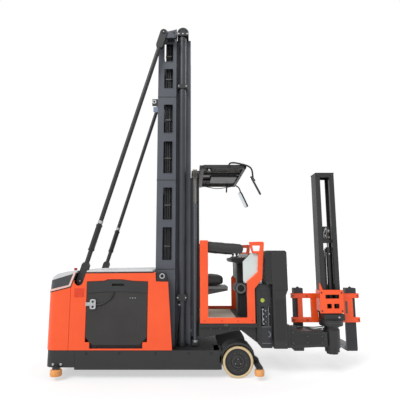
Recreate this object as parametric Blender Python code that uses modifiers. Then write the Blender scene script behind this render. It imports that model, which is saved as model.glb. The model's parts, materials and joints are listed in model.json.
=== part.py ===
"""Man-up very narrow aisle forklift with a rising cab and a swivelling fork head.

Metres, +X is the front where the forks are, +Y the left side, +Z up, the floor is z = 0.
The origin is the middle of the footprint.
"""

import math

import bmesh
import bpy
from mathutils import Matrix, Vector

OBJECT_NAME = "aisle_forklift"

# Sides of the truck, as the sign of y.
SIDES = (("right", -1), ("left", 1))

# Gap kept between two pieces that touch, and the play of a pin in its hole.
TOUCH = 0.0003
PIN_PLAY = 0.0004
# Free space between pieces that slide or turn past each other.
RUN_GAP = 0.006

# Chassis.
BODY_HALF_WIDTH = 0.70
PANEL_THICK = 0.03
REAR_X = -2.008
SKIRT_BOTTOM_Z = 0.11
REAR_SKIRT_BOTTOM_Z = 0.15
SKIRT_STEP_X = -1.645
SLAB_TOP_Z = 0.335
SLAB_FRONT_X = 0.10
PANEL_BOTTOM_Z = SLAB_TOP_Z + TOUCH
CORNER_RADIUS = 0.11
REAR_SEAM_X = -1.712
PANEL_FRONT_LOW_X = -0.455
PANEL_FRONT_TOP = (-0.545, 1.215)
SHOULDER_X = -0.70
PANEL_TOP_Z = 1.245
# The belt line runs over the flank from the tail up to the hood.
BELT = ((-1.995, 0.922), (-1.709, 0.990), (-1.634, 1.245))

# Battery bay in both flanks.
BAY_X = (-1.524, -0.764)
BAY_Z = (0.405, 1.160)
DOOR_GAP = 0.004
DOOR_DEPTH = 0.04
CAP_X = (-1.524, -0.764)
CAP_PROUD = 0.008

# Lower pivot of the mast struts and the upper one on the mast.
STRUT_LOW = Vector((-1.645, 0.55, 1.115))
STRUT_HIGH = Vector((-0.619, 0.545, 4.633))
EAR_REACH = 0.055
EAR_HALF = 0.006
STRUT_RADIUS = 0.027

# Drive wheel under the tail.
DRIVE_X = -1.77
DRIVE_RADIUS = 0.160
DRIVE_WIDTH = 0.120
DRIVE_WELL_RADIUS = 0.197
DRIVE_WELL_TOP_Z = 0.40
DRIVE_POST_RADIUS = 0.064

# Load wheels in the front arms.
WHEEL_X = 0.346
WHEEL_RADIUS = 0.190
WHEEL_Y = (0.505, 0.665)
TREAD_THICK = 0.032
FENDER_RADIUS = 0.235
FENDER_INNER = 0.208
ARM_Y = (0.42, 0.69)
AXLE_RADIUS = 0.035

# Guide rollers: x, y, radius, bottom z and top z.
GUIDE_ROLLERS = (
    ("rear", -1.845, 0.725, 0.075, 0.045, 0.135),
    ("front", 0.591, 0.742, 0.058, 0.038, 0.140),
)
GUIDE_PIN_RADIUS = 0.013

# Outer mast.
COLUMN_X = (-0.690, -0.434)
COLUMN_Y = (0.365, 0.500)
COLUMN_TOP_Z = 4.53
COLUMN_WALL = 0.014
WINDOW_X = (-0.605, -0.482)
WINDOWS_Z = ((1.42, 1.85), (1.95, 2.385), (2.58, 3.03), (3.15, 3.56), (3.80, 4.09), (4.20, 4.47))
RAIL_X = (-0.445, -0.233)
RAIL_Y = (0.305, 0.385)
RAIL_WALL = 0.015
RAIL_TOP_Z = 4.59
MAST_FOOT_Z = SLAB_TOP_Z + TOUCH

# Main lift cylinders beside the rails.
CYLINDER_X = -0.3485
CYLINDER_Y = 0.445
CYLINDER_RADIUS = 0.0515
CYLINDER_BORE = 0.040
CYLINDER_TOP_Z = 4.585
LIFT_ROD_RADIUS = 0.025

# Inner mast.
INNER_X = (-0.409, -0.258)
INNER_Y = (0.265, 0.345)
INNER_WALL = 0.012
INNER_Z = (0.345, 4.62)
CROSSBAR_X = (-0.455, -0.403)
CROSSBAR_Y = 0.295

# Free lift cylinders, their rods and chains.
FREE_X = -0.175
FREE_Y = 0.460
FREE_RADIUS = 0.028
FREE_BORE = 0.020
FREE_ROD_RADIUS = 0.014
FREE_TOP_Z = 2.17
FREE_FOOT_Z = (0.345, 0.385)
SHEAVE_Z = 2.60
SHEAVE_RADIUS = 0.034
CHAIN_WIDTH = 0.046
CHAIN_THICK = 0.012
CHAIN_X = (FREE_X - CHAIN_WIDTH / 2, FREE_X + CHAIN_WIDTH / 2)
CHAIN_Y = FREE_Y - SHEAVE_RADIUS - TOUCH - CHAIN_THICK / 2
# The cab's ears hold the chains' front ends between two prongs, open towards the cylinders.
CHAIN_EAR_Z = (0.64, 0.71)
CHAIN_END_Z = 0.65

# Cab.
CAB_COLUMN_X = (-0.225, -0.117)
CAB_COLUMN_Y = (0.280, 0.400)
CAB_COLUMN_Z = (0.44, 2.60)
CAB_HALF_WIDTH = 0.62
CAB_SIDE_THICK = 0.035
FLOOR_Z = 0.636
MAT_TOP_Z = 0.662
GUARD_Z = 2.63
GUARD_X = (-0.115, 0.50)
GUARD_HALF_WIDTH = 0.675

# Cross beam the fork head travels on.
BEAM_X = (0.602, 0.754)
BEAM_Z = (0.334, 1.120)
BEAM_HALF = 0.578

# Fork head at its right-hand stop.
HEAD_Y = -0.50
TOWER_HALF = 0.155
TOWER_FRONT_X = 0.995
TOWER_TOP_Z = 1.54
ARM_HALF = 0.115
PIVOT_X = 1.56
PIVOT_RADIUS = 0.089
SHAFT_RADIUS = 0.055

# Auxiliary mast on the turntable.
AUX_X = (1.472, 1.697)
AUX_Y = (-0.55, -0.35)
AUX_Z = (0.69, 2.577)
AUX_WALL = 0.014

# Fork carriage.
BAR_X = (1.105, 2.008)
BAR_Y = (-0.342, -0.297)
UPPER_BAR_Z = (0.905, 0.980)
LOWER_BAR_Z = (0.605, 0.688)
FORKS_X = (("right", 1.142, 1.270), ("left", 1.836, 1.977))
FORK_THICK = 0.045
FORK_BOTTOM_Z = 0.231
FORK_TIP_Y = 0.795


def remove_everything():
    """Empty the scene of whatever the program starts with."""
    for old in list(bpy.data.objects):
        bpy.data.objects.remove(old, do_unlink=True)


def new_collection(name):
    """Make a collection in the scene."""
    collection = bpy.data.collections.new(name)
    bpy.context.scene.collection.children.link(collection)
    return collection


def new_material(name, colour, roughness, metallic):
    """Make a plain surface finish."""
    material = bpy.data.materials.new(name)
    material.use_nodes = True
    shader = material.node_tree.nodes["Principled BSDF"]
    shader.inputs["Base Color"].default_value = (*colour, 1.0)
    shader.inputs["Roughness"].default_value = roughness
    shader.inputs["Metallic"].default_value = metallic
    return material


remove_everything()
PARTS = new_collection(OBJECT_NAME)
CUTTERS = new_collection("cutters")

ORANGE = new_material("orange_paint", (0.92, 0.13, 0.03), 0.42, 0.0)
BLACK = new_material("black_paint", (0.020, 0.020, 0.022), 0.50, 0.0)
MAST_GREY = new_material("mast_paint", (0.060, 0.065, 0.073), 0.45, 0.2)
HOOD_GREY = new_material("hood_plastic", (0.50, 0.50, 0.50), 0.55, 0.0)
GLASS = new_material("dark_glass", (0.03, 0.035, 0.04), 0.12, 0.0)
DOOR_GREY = new_material("door_plastic", (0.035, 0.035, 0.038), 0.60, 0.0)
CREAM = new_material("cream_polyurethane", (0.78, 0.68, 0.48), 0.45, 0.0)
ROLLER_ORANGE = new_material("orange_polyurethane", (0.85, 0.20, 0.04), 0.45, 0.0)
STEEL = new_material("bright_steel", (0.45, 0.46, 0.48), 0.30, 0.9)
MAT = new_material("floor_mat", (0.62, 0.54, 0.44), 0.80, 0.0)
SEAT = new_material("seat_vinyl", (0.025, 0.025, 0.028), 0.70, 0.0)
GREY = new_material("grey_paint", (0.22, 0.22, 0.23), 0.50, 0.1)
PALE = new_material("pale_panel", (0.62, 0.66, 0.66), 0.25, 0.0)
SHEET = new_material("guard_sheet", (0.16, 0.16, 0.13), 0.55, 0.0)
LEAD = new_material("battery_case", (0.05, 0.05, 0.055), 0.70, 0.0)
RUBBER = new_material("black_rubber", (0.03, 0.03, 0.03), 0.80, 0.0)
CHAIN = new_material("chain_steel", (0.14, 0.13, 0.12), 0.45, 0.8)


def mesh_object(name, bm):
    """Turn a bmesh into an object that is kept with the cutters until it is used."""
    bmesh.ops.recalc_face_normals(bm, faces=bm.faces)
    mesh = bpy.data.meshes.new(name)
    bm.to_mesh(mesh)
    bm.free()
    made = bpy.data.objects.new(name, mesh)
    CUTTERS.objects.link(made)
    return made


def box(x_range, y_range, z_range):
    """Box between the given limits."""
    bm = bmesh.new()
    bmesh.ops.create_cube(bm, size=1.0)
    low = Vector((min(x_range), min(y_range), min(z_range)))
    high = Vector((max(x_range), max(y_range), max(z_range)))
    bmesh.ops.scale(bm, vec=high - low, verts=bm.verts)
    bmesh.ops.translate(bm, vec=(low + high) / 2, verts=bm.verts)
    return mesh_object("box", bm)


def rod(start, end, radius, end_radius=None, segments=32):
    """Round bar, or a cone, from one point to another."""
    start = Vector(start)
    end = Vector(end)
    along = end - start
    bm = bmesh.new()
    bmesh.ops.create_cone(
        bm,
        cap_ends=True,
        segments=segments,
        radius1=radius,
        radius2=radius if end_radius is None else end_radius,
        depth=along.length,
    )
    turn = along.to_track_quat("Z", "Y").to_matrix().to_4x4()
    bmesh.ops.transform(bm, matrix=Matrix.Translation((start + end) / 2) @ turn, verts=bm.verts)
    return mesh_object("rod", bm)


# For each axis a flat outline is pushed along: which way its two coordinates and its depth point.
PUSH = {
    "x": Matrix(((0, 0, 1, 0), (1, 0, 0, 0), (0, 1, 0, 0), (0, 0, 0, 1))),
    "y": Matrix(((1, 0, 0, 0), (0, 0, -1, 0), (0, 1, 0, 0), (0, 0, 0, 1))),
    "z": Matrix(((1, 0, 0, 0), (0, 1, 0, 0), (0, 0, 1, 0), (0, 0, 0, 1))),
}


def plate(axis, outline, limits, holes=()):
    """Flat outline with holes, pushed along an axis between two limits.

    The outline is in (y, z) for axis x, in (x, z) for axis y and in (x, y) for axis z.
    """
    curve = bpy.data.curves.new("outline", "CURVE")
    curve.dimensions = "2D"
    curve.fill_mode = "BOTH"
    curve.resolution_u = 1
    curve.extrude = abs(limits[1] - limits[0]) / 2
    for loop in (outline, *holes):
        spline = curve.splines.new("POLY")
        spline.points.add(len(loop) - 1)
        for point, (a, b) in zip(spline.points, loop):
            point.co = (a, b, 0.0, 1.0)
        spline.use_cyclic_u = True
    flat = bpy.data.objects.new("outline", curve)
    CUTTERS.objects.link(flat)
    bpy.context.view_layer.update()
    mesh = bpy.data.meshes.new_from_object(flat.evaluated_get(bpy.context.evaluated_depsgraph_get()))
    bpy.data.objects.remove(flat, do_unlink=True)
    bm = bmesh.new()
    bm.from_mesh(mesh)
    bpy.data.meshes.remove(mesh)
    bmesh.ops.remove_doubles(bm, verts=bm.verts, dist=0.00001)
    middle = (limits[0] + limits[1]) / 2
    shift = {"x": (middle, 0, 0), "y": (0, middle, 0), "z": (0, 0, middle)}[axis]
    bmesh.ops.transform(bm, matrix=Matrix.Translation(shift) @ PUSH[axis], verts=bm.verts)
    return mesh_object("plate", bm)


def tube(points, radius, resolution=3):
    """Bent round bar through the given points."""
    curve = bpy.data.curves.new("bend", "CURVE")
    curve.dimensions = "3D"
    curve.resolution_u = 6
    curve.bevel_depth = radius
    curve.bevel_resolution = resolution
    curve.use_fill_caps = True
    spline = curve.splines.new("BEZIER")
    spline.bezier_points.add(len(points) - 1)
    for knot, point in zip(spline.bezier_points, points):
        knot.co = point
        knot.handle_left_type = "AUTO"
        knot.handle_right_type = "AUTO"
    bent = bpy.data.objects.new("bend", curve)
    CUTTERS.objects.link(bent)
    bpy.context.view_layer.update()
    mesh = bpy.data.meshes.new_from_object(bent.evaluated_get(bpy.context.evaluated_depsgraph_get()))
    bpy.data.objects.remove(bent, do_unlink=True)
    bm = bmesh.new()
    bm.from_mesh(mesh)
    bpy.data.meshes.remove(mesh)
    bmesh.ops.remove_doubles(bm, verts=bm.verts, dist=0.00001)
    return mesh_object("tube", bm)


def arc(centre, radius, start, end, steps):
    """Points on a circle from one angle in degrees to another."""
    points = []
    for step in range(steps + 1):
        angle = math.radians(start + (end - start) * step / steps)
        points.append((centre[0] + radius * math.cos(angle), centre[1] + radius * math.sin(angle)))
    return points


def rectangle(a_range, b_range):
    """Four corners of a flat rectangle."""
    return [
        (a_range[0], b_range[0]),
        (a_range[1], b_range[0]),
        (a_range[1], b_range[1]),
        (a_range[0], b_range[1]),
    ]


def combine(base, other, operation):
    """Boolean one solid with another."""
    modifier = base.modifiers.new(operation.lower(), "BOOLEAN")
    modifier.operation = operation
    modifier.solver = "EXACT"
    modifier.object = other


def weld(base, *others):
    """Union a solid with the others."""
    for other in others:
        combine(base, other, "UNION")
    return base


def carve(base, *others):
    """Cut the others out of a solid."""
    for other in others:
        combine(base, other, "DIFFERENCE")
    return base


def keep(base, other):
    """Keep only what two solids share."""
    combine(base, other, "INTERSECT")
    return base


def settle(solid):
    """Apply the modifiers, so that the solid can be used in another one."""
    bpy.context.view_layer.update()
    mesh = bpy.data.meshes.new_from_object(solid.evaluated_get(bpy.context.evaluated_depsgraph_get()))
    solid.modifiers.clear()
    solid.data = mesh
    return solid


def soften(solid, width, segments=2, angle=35.0):
    """Round the edges of a solid."""
    bevel = solid.modifiers.new("soften", "BEVEL")
    bevel.width = width
    bevel.segments = segments
    bevel.limit_method = "ANGLE"
    bevel.angle_limit = math.radians(angle)
    bevel.harden_normals = False
    return solid


def finish(name, solid, material, origin=(0.0, 0.0, 0.0), smooth=False):
    """Name a solid as a part of the truck, with its own finish and its origin on its joint."""
    settle(solid)
    solid.data.transform(Matrix.Translation(-Vector(origin)))
    solid.location = origin
    solid.name = name
    solid.data.name = name
    solid.data.materials.clear()
    solid.data.materials.append(material.copy())
    solid.data.materials[0].name = name
    if smooth:
        solid.data.shade_smooth()
        solid.data.set_sharp_from_angle(angle=math.radians(35.0))
    CUTTERS.objects.unlink(solid)
    PARTS.objects.link(solid)
    return solid


def span(side, limits):
    """Limits of y on one side of the truck."""
    return (side * limits[0], side * limits[1])


# Chassis: slab, wheel arms, bulkhead, strut brackets and roller brackets.
def build_base_frame():
    slab = plate(
        "y",
        [
            (REAR_X + 0.012, REAR_SKIRT_BOTTOM_Z),
            (SKIRT_STEP_X, REAR_SKIRT_BOTTOM_Z),
            (SKIRT_STEP_X + 0.04, SKIRT_BOTTOM_Z),
            (SLAB_FRONT_X + 0.02, SKIRT_BOTTOM_Z),
            (SLAB_FRONT_X + 0.02, SLAB_TOP_Z),
            (REAR_X + 0.012, SLAB_TOP_Z),
        ],
        (-BODY_HALF_WIDTH + 0.004, BODY_HALF_WIDTH - 0.004),
    )
    keep(slab, rounded_plan(0.012, SLAB_FRONT_X + 0.2, (0.0, 1.0)))
    weld(slab, box((-1.973, -1.56), (-0.26, 0.26), (SLAB_TOP_Z - 0.02, DRIVE_WELL_TOP_Z + 0.03)))
    carve(slab, rod((DRIVE_X, 0, 0), (DRIVE_X, 0, DRIVE_WELL_TOP_Z), DRIVE_WELL_RADIUS, segments=48))
    carve(slab, rod((DRIVE_X, 0, 0.1), (DRIVE_X, 0, 1.0), DRIVE_POST_RADIUS + PIN_PLAY))
    bulkhead = box((-1.615, -1.565), (-0.64, 0.64), (SLAB_TOP_Z - 0.01, 1.05))
    weld(slab, bulkhead)
    for _, side in SIDES:
        centre = (WHEEL_X, WHEEL_RADIUS)
        outline = [(0.05, SKIRT_BOTTOM_Z), (0.60, SKIRT_BOTTOM_Z + 0.05), (0.64, 0.165), (0.64, 0.20), (0.60, 0.235)]
        outline += [p for p in arc(centre, FENDER_RADIUS, 14, 180, 18)]
        outline += [(0.10, SLAB_TOP_Z), (0.05, SLAB_TOP_Z)]
        outline[1] = (0.60, 0.165)
        arm = plate("y", outline, span(side, ARM_Y))
        well = rod((WHEEL_X, side * 0.49, WHEEL_RADIUS), (WHEEL_X, side * 0.80, WHEEL_RADIUS), FENDER_INNER, segments=48)
        carve(arm, well)
        skirt_cut = box((WHEEL_X - 0.19, WHEEL_X + 0.21), span(side, (0.49, 0.80)), (0.0, 0.16))
        carve(arm, skirt_cut)
        settle(arm)
        axle = rod((WHEEL_X, side * 0.45, WHEEL_RADIUS), (WHEEL_X, side * 0.685, WHEEL_RADIUS), AXLE_RADIUS)
        weld(arm, axle)
        settle(arm)
        weld(slab, arm)
        for place, x, y, radius, low, high in GUIDE_ROLLERS:
            top = high + RUN_GAP
            bracket = box((x - 0.045, x + 0.045), span(side, (0.60, y + 0.03)), (top, top + 0.022))
            pin = rod((x, side * y, low - 0.008), (x, side * y, top + 0.01), GUIDE_PIN_RADIUS)
            washer = rod((x, side * y, low - 0.010), (x, side * y, low - 0.004), GUIDE_PIN_RADIUS + 0.009)
            weld(slab, bracket, pin, washer)
        for y in (STRUT_LOW.y - 0.055, STRUT_LOW.y + 0.055):
            ear = plate(
                "y",
                [(-1.58, 0.90), (-1.58, 1.16)]
                + arc((STRUT_LOW.x, STRUT_LOW.z), 0.050, 60, 250, 12)
                + [(-1.62, 0.90)],
                (side * y - 0.009, side * y + 0.009),
            )
            weld(slab, ear)
        pin = rod(
            (STRUT_LOW.x, side * (STRUT_LOW.y - 0.062), STRUT_LOW.z),
            (STRUT_LOW.x, side * (STRUT_LOW.y + 0.072), STRUT_LOW.z),
            0.018,
        )
        weld(slab, pin)
    finish("base_frame", slab, BLACK)


def rounded_plan(inset, front_x, z_range):
    """Upright block over the chassis with rounded tail corners."""
    half = BODY_HALF_WIDTH - inset
    rear = REAR_X + inset
    radius = CORNER_RADIUS - inset
    outline = [(front_x, -half), (front_x, half)]
    outline += arc((rear + radius, half - radius), radius, 90, 180, 8)
    outline += arc((rear + radius, -half + radius), radius, 180, 270, 8)
    return plate("z", outline, z_range)


def build_body_panels():
    for name, side in SIDES:
        outline = [
            (BELT[1][0], PANEL_BOTTOM_Z),
            BELT[1],
            BELT[2],
            (SHOULDER_X, PANEL_TOP_Z),
            PANEL_FRONT_TOP,
            (PANEL_FRONT_LOW_X, PANEL_BOTTOM_Z),
        ]
        panel = plate("y", outline, span(side, (BODY_HALF_WIDTH - PANEL_THICK, BODY_HALF_WIDTH)), [rectangle(BAY_X, BAY_Z)])
        carve(panel, strut_recess(side))
        finish(f"side_panel_{name}", panel, ORANGE)
    tail = plate(
        "y",
        [
            (REAR_X, PANEL_BOTTOM_Z),
            (BELT[0][0], BELT[0][1]),
            (REAR_SEAM_X, 0.988),
            (REAR_SEAM_X, PANEL_BOTTOM_Z),
        ],
        (-BODY_HALF_WIDTH, BODY_HALF_WIDTH),
    )
    keep(tail, rounded_plan(0.0, 0.0, (0.0, 2.0)))
    carve(tail, rounded_plan(PANEL_THICK, 0.0, (0.0, 2.0)))
    finish("tail_cover", tail, ORANGE)
    window = plate(
        "y",
        [
            (BELT[0][0] + 0.0002, BELT[0][1] + 0.0006),
            (-1.968, 1.1400),
            (-1.6423, 1.2192),
            (BELT[1][0] - 0.0006, BELT[1][1] - 0.0010),
        ],
        (-BODY_HALF_WIDTH + 0.002, BODY_HALF_WIDTH - 0.002),
    )
    keep(window, rounded_plan(0.0, 0.0, (0.0, 2.0)))
    carve(window, rounded_plan(PANEL_THICK, 0.0, (0.0, 2.0)))
    finish("rear_window", window, GLASS)
    hood = plate(
        "y",
        [
            (-1.968, 1.1403),
            (-1.935, 1.195),
            (-1.86, 1.240),
            (-1.70, 1.270),
            (-1.25, 1.290),
            (-0.80, 1.290),
            (-0.715, 1.272),
            (-0.700, 1.2453),
            (-1.634, 1.2453),
            (-1.6423, 1.2195),
        ],
        (-BODY_HALF_WIDTH + 0.002, BODY_HALF_WIDTH - 0.002),
    )
    keep(hood, rounded_plan(0.002, 0.0, (0.0, 2.0)))
    for _, side in SIDES:
        carve(hood, strut_recess(side))
    finish("hood", hood, HOOD_GREY)


def strut_recess(side):
    """Space cut round the lower end of a strut."""
    along = (STRUT_HIGH - STRUT_LOW).normalized()
    across = Vector((along.z, 0, -along.x)).normalized() * 0.075
    top = STRUT_LOW + along * 0.45
    outline = [
        (STRUT_LOW.x + across.x, STRUT_LOW.z + across.z),
        (top.x + across.x, top.z + across.z),
        (top.x - across.x, top.z - across.z),
        (STRUT_LOW.x - across.x, STRUT_LOW.z - across.z),
    ]
    start = math.degrees(math.atan2(-across.z, -across.x))
    outline += arc((STRUT_LOW.x, STRUT_LOW.z), 0.075, start, start + 180, 10)[1:-1]
    return plate("y", outline, span(side, (0.47, 0.80)))


def build_battery():
    block = box((BAY_X[0] + 0.02, BAY_X[1] - 0.02), (-0.655, 0.655), (SLAB_TOP_Z + TOUCH, 1.13))
    finish("battery", soften(block, 0.006, 1), LEAD)
    for name, side in SIDES:
        door = box(
            (BAY_X[0] + DOOR_GAP, BAY_X[1] - DOOR_GAP),
            span(side, (0.6553, 0.697)),
            (BAY_Z[0] + DOOR_GAP, BAY_Z[1] - 0.06),
        )
        middle = (BAY_X[0] + BAY_X[1]) / 2
        cap_outline = [(BAY_X[0] + DOOR_GAP, 1.150), (BAY_X[0] + DOOR_GAP, 1.085)]
        cap_outline += arc((middle, 2.1), 1.083, 250.5, 289.5, 12)
        cap_outline += [(BAY_X[1] - DOOR_GAP, 1.085), (BAY_X[1] - DOOR_GAP, 1.150)]
        cap = plate("y", cap_outline, span(side, (0.6553, BODY_HALF_WIDTH + CAP_PROUD)))
        weld(door, cap)
        finish(f"battery_door_{name}", door, DOOR_GREY)


def build_struts():
    for name, side in SIDES:
        low = Vector((STRUT_LOW.x, side * STRUT_LOW.y, STRUT_LOW.z))
        high = Vector((STRUT_HIGH.x, side * STRUT_HIGH.y, STRUT_HIGH.z))
        along = (high - low).normalized()
        tube_low = low + along * 0.10
        tube_high = high - along * 0.10
        strut = rod(tube_low, tube_high, STRUT_RADIUS)
        for eye, outward in ((low, along), (high, -along)):
            head = rod(eye + Vector((0, -0.040, 0)), eye + Vector((0, 0.040, 0)), 0.038)
            shank = rod(eye, eye + outward * 0.14, 0.018)
            weld(strut, shank, head)
        settle(strut)
        for eye, radius in ((low, 0.018), (high, 0.018)):
            hole = rod(eye + Vector((0, -0.1, 0)), eye + Vector((0, 0.1, 0)), radius + 0.0004)
            carve(strut, hole)
        settle(strut)
        buckle = rod(low + along * 0.42, low + along * 0.72, STRUT_RADIUS + 0.009, segments=6)
        weld(strut, buckle)
        finish(f"strut_{name}", strut, BLACK, smooth=True)


def build_outer_mast():
    mast = None
    for _, side in SIDES:
        column = box(COLUMN_X, span(side, COLUMN_Y), (MAST_FOOT_Z, COLUMN_TOP_Z))
        hollow = box(
            (COLUMN_X[0] + COLUMN_WALL, COLUMN_X[1] - COLUMN_WALL),
            span(side, (COLUMN_Y[0] - 0.1, COLUMN_Y[1] - COLUMN_WALL)),
            (MAST_FOOT_Z + 0.05, COLUMN_TOP_Z - 0.03),
        )
        carve(column, hollow)
        for low, high in WINDOWS_Z:
            carve(column, box(WINDOW_X, span(side, (0.45, 0.55)), (low, high)))
        rail = box(RAIL_X, span(side, RAIL_Y), (MAST_FOOT_Z, RAIL_TOP_Z))
        groove = box(
            (RAIL_X[0] + RAIL_WALL + 0.011, RAIL_X[1] - RAIL_WALL),
            span(side, (RAIL_Y[0] - 0.05, RAIL_Y[1] - 0.020)),
            (MAST_FOOT_Z - 0.1, RAIL_TOP_Z + 0.1),
        )
        carve(rail, groove)
        settle(rail)
        weld(column, rail)
        clamp = box((CYLINDER_X - 0.066, CYLINDER_X + 0.066), span(side, (0.383, 0.506)), (3.80, 3.86))
        foot = box((CYLINDER_X - 0.07, CYLINDER_X + 0.07), span(side, (0.383, 0.506)), (0.90, 0.98))
        bore = rod(
            (CYLINDER_X, side * CYLINDER_Y, 0.5),
            (CYLINDER_X, side * CYLINDER_Y, 4.3),
            CYLINDER_RADIUS + TOUCH,
        )
        for ring in (clamp, foot):
            carve(ring, bore)
            settle(ring)
            weld(column, ring)
        top = plate(
            "y",
            [(COLUMN_X[0] + 0.02, 4.50), (COLUMN_X[1] - 0.02, 4.50), (COLUMN_X[1] - 0.03, 4.60)]
            + arc((STRUT_HIGH.x, STRUT_HIGH.z), 0.045, 20, 170, 10),
            span(side, (STRUT_HIGH.y - EAR_REACH - EAR_HALF, STRUT_HIGH.y - EAR_REACH + EAR_HALF)),
        )
        outer = plate(
            "y",
            [(COLUMN_X[0] + 0.02, 4.50), (COLUMN_X[1] - 0.02, 4.50), (COLUMN_X[1] - 0.03, 4.60)]
            + arc((STRUT_HIGH.x, STRUT_HIGH.z), 0.045, 20, 170, 10),
            span(side, (STRUT_HIGH.y + EAR_REACH - EAR_HALF, STRUT_HIGH.y + EAR_REACH + EAR_HALF)),
        )
        link = box((-0.575, COLUMN_X[1] - 0.03), span(side, (0.45, STRUT_HIGH.y + EAR_REACH)), (4.49, 4.529))
        pin = rod(
            (STRUT_HIGH.x, side * (STRUT_HIGH.y - EAR_REACH - 0.01), STRUT_HIGH.z),
            (STRUT_HIGH.x, side * (STRUT_HIGH.y + EAR_REACH + 0.015), STRUT_HIGH.z),
            0.018,
        )
        weld(column, top, link, outer, pin)
        settle(column)
        mast = column if mast is None else weld(mast, column)
    for low, high in ((0.40, 0.60), (1.26, 1.36), (2.44, 2.54), (3.62, 3.72), (4.42, 4.52)):
        weld(mast, box((COLUMN_X[0] + 0.002, COLUMN_X[0] + 0.05), (-0.40, 0.40), (low, high)))
    finish("outer_mast", mast, MAST_GREY)
    for name, side in SIDES:
        barrel = rod(
            (CYLINDER_X, side * CYLINDER_Y, MAST_FOOT_Z),
            (CYLINDER_X, side * CYLINDER_Y, CYLINDER_TOP_Z),
            CYLINDER_RADIUS,
        )
        bore = rod(
            (CYLINDER_X, side * CYLINDER_Y, MAST_FOOT_Z + 0.05),
            (CYLINDER_X, side * CYLINDER_Y, CYLINDER_TOP_Z + 0.1),
            CYLINDER_BORE,
        )
        carve(barrel, bore)
        settle(barrel)
        gland = rod(
            (CYLINDER_X, side * CYLINDER_Y, CYLINDER_TOP_Z - 0.06),
            (CYLINDER_X, side * CYLINDER_Y, CYLINDER_TOP_Z - 0.005),
            CYLINDER_BORE + 0.003,
        )
        carve(gland, rod((CYLINDER_X, side * CYLINDER_Y, 4.0), (CYLINDER_X, side * CYLINDER_Y, 5.0), LIFT_ROD_RADIUS + PIN_PLAY))
        weld(barrel, settle(gland))
        finish(f"lift_cylinder_{name}", barrel, BLACK, smooth=True)


def build_inner_mast():
    mast = None
    for _, side in SIDES:
        rail = box(INNER_X, span(side, INNER_Y), INNER_Z)
        groove = box(
            (INNER_X[0] + INNER_WALL, INNER_X[1] - INNER_WALL),
            span(side, (INNER_Y[0] - 0.05, INNER_Y[1] - 0.020)),
            (INNER_Z[0] - 0.1, INNER_Z[1] + 0.1),
        )
        carve(rail, groove)
        settle(rail)
        crosshead = box((-0.400, -0.268), span(side, (0.30, 0.500)), (4.600, 4.655))
        hump = plate(
            "y",
            [(-0.425, 4.61)] + arc((-0.345, 4.650), 0.080, 180, 0, 16) + [(-0.265, 4.61)],
            span(side, (0.395, 0.495)),
        )
        lift_rod = rod(
            (CYLINDER_X, side * CYLINDER_Y, MAST_FOOT_Z + 0.10),
            (CYLINDER_X, side * CYLINDER_Y, 4.62),
            LIFT_ROD_RADIUS,
        )
        roller = rod(
            (-0.3335, side * (INNER_Y[1] - 0.01), 0.50),
            (-0.3335, side * (INNER_Y[1] + 0.012), 0.50),
            (RAIL_X[1] - RAIL_WALL - RAIL_X[0] - RAIL_WALL - 0.011) / 2 - TOUCH,
        )
        weld(rail, crosshead, hump, lift_rod, roller)
        settle(rail)
        mast = rail if mast is None else weld(mast, rail)
    for low, high in ((0.40, 0.54), (2.20, 2.30), (4.44, 4.56)):
        weld(mast, box(CROSSBAR_X, (-CROSSBAR_Y, CROSSBAR_Y), (low, high)))
    finish("inner_mast", mast, MAST_GREY)


def build_free_lift():
    foot = box((-0.222, -0.14), (-0.495, 0.495), FREE_FOOT_Z)
    for _, side in SIDES:
        tie = box((INNER_X[1] + TOUCH, -0.20), span(side, (0.20, 0.295)), FREE_FOOT_Z)
        barrel = rod((FREE_X, side * FREE_Y, 0.37), (FREE_X, side * FREE_Y, FREE_TOP_Z), FREE_RADIUS)
        weld(foot, tie, barrel)
    settle(foot)
    for _, side in SIDES:
        bore = rod((FREE_X, side * FREE_Y, 0.42), (FREE_X, side * FREE_Y, FREE_TOP_Z - 0.05), FREE_BORE)
        gland = rod((FREE_X, side * FREE_Y, 0.42), (FREE_X, side * FREE_Y, FREE_TOP_Z + 0.1), FREE_ROD_RADIUS + PIN_PLAY)
        carve(foot, bore, gland)
    finish("free_lift_cylinders", foot, STEEL, smooth=True)
    for name, side in SIDES:
        y = side * FREE_Y
        piston = rod((FREE_X, y, 0.46), (FREE_X, y, SHEAVE_Z - 0.07), FREE_ROD_RADIUS)
        yoke = box((FREE_X - 0.045, FREE_X + 0.045), (y - 0.020, y + 0.020), (SHEAVE_Z - 0.085, SHEAVE_Z - 0.055))
        cheeks = [
            box((x - 0.006, x + 0.006), (y - 0.020, y + 0.020), (SHEAVE_Z - 0.085, SHEAVE_Z + 0.02))
            for x in (FREE_X - 0.039, FREE_X + 0.039)
        ]
        sheave = rod(
            (FREE_X - 0.045, y, SHEAVE_Z),
            (FREE_X + 0.045, y, SHEAVE_Z),
            0.018,
        )
        wheel = rod((FREE_X - 0.030, y, SHEAVE_Z), (FREE_X + 0.030, y, SHEAVE_Z), SHEAVE_RADIUS)
        weld(piston, yoke, *cheeks, sheave, wheel)
        finish(f"free_lift_rod_{name}", piston, STEEL, smooth=True)
        inner = SHEAVE_RADIUS + TOUCH
        outer = inner + CHAIN_THICK
        inward = -side
        outline = arc((y, SHEAVE_Z), outer, 0, 180, 16)
        low_end = {True: CHAIN_END_Z, False: FREE_TOP_Z + 0.01}
        left_low = low_end[inward < 0]
        right_low = low_end[inward > 0]
        outline += [(y - outer, left_low), (y - inner, left_low)]
        outline += arc((y, SHEAVE_Z), inner, 180, 0, 16)
        outline += [(y + inner, right_low), (y + outer, right_low)]
        chain = plate("x", outline, CHAIN_X)
        finish(f"lift_chain_{name}", chain, CHAIN)


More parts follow.
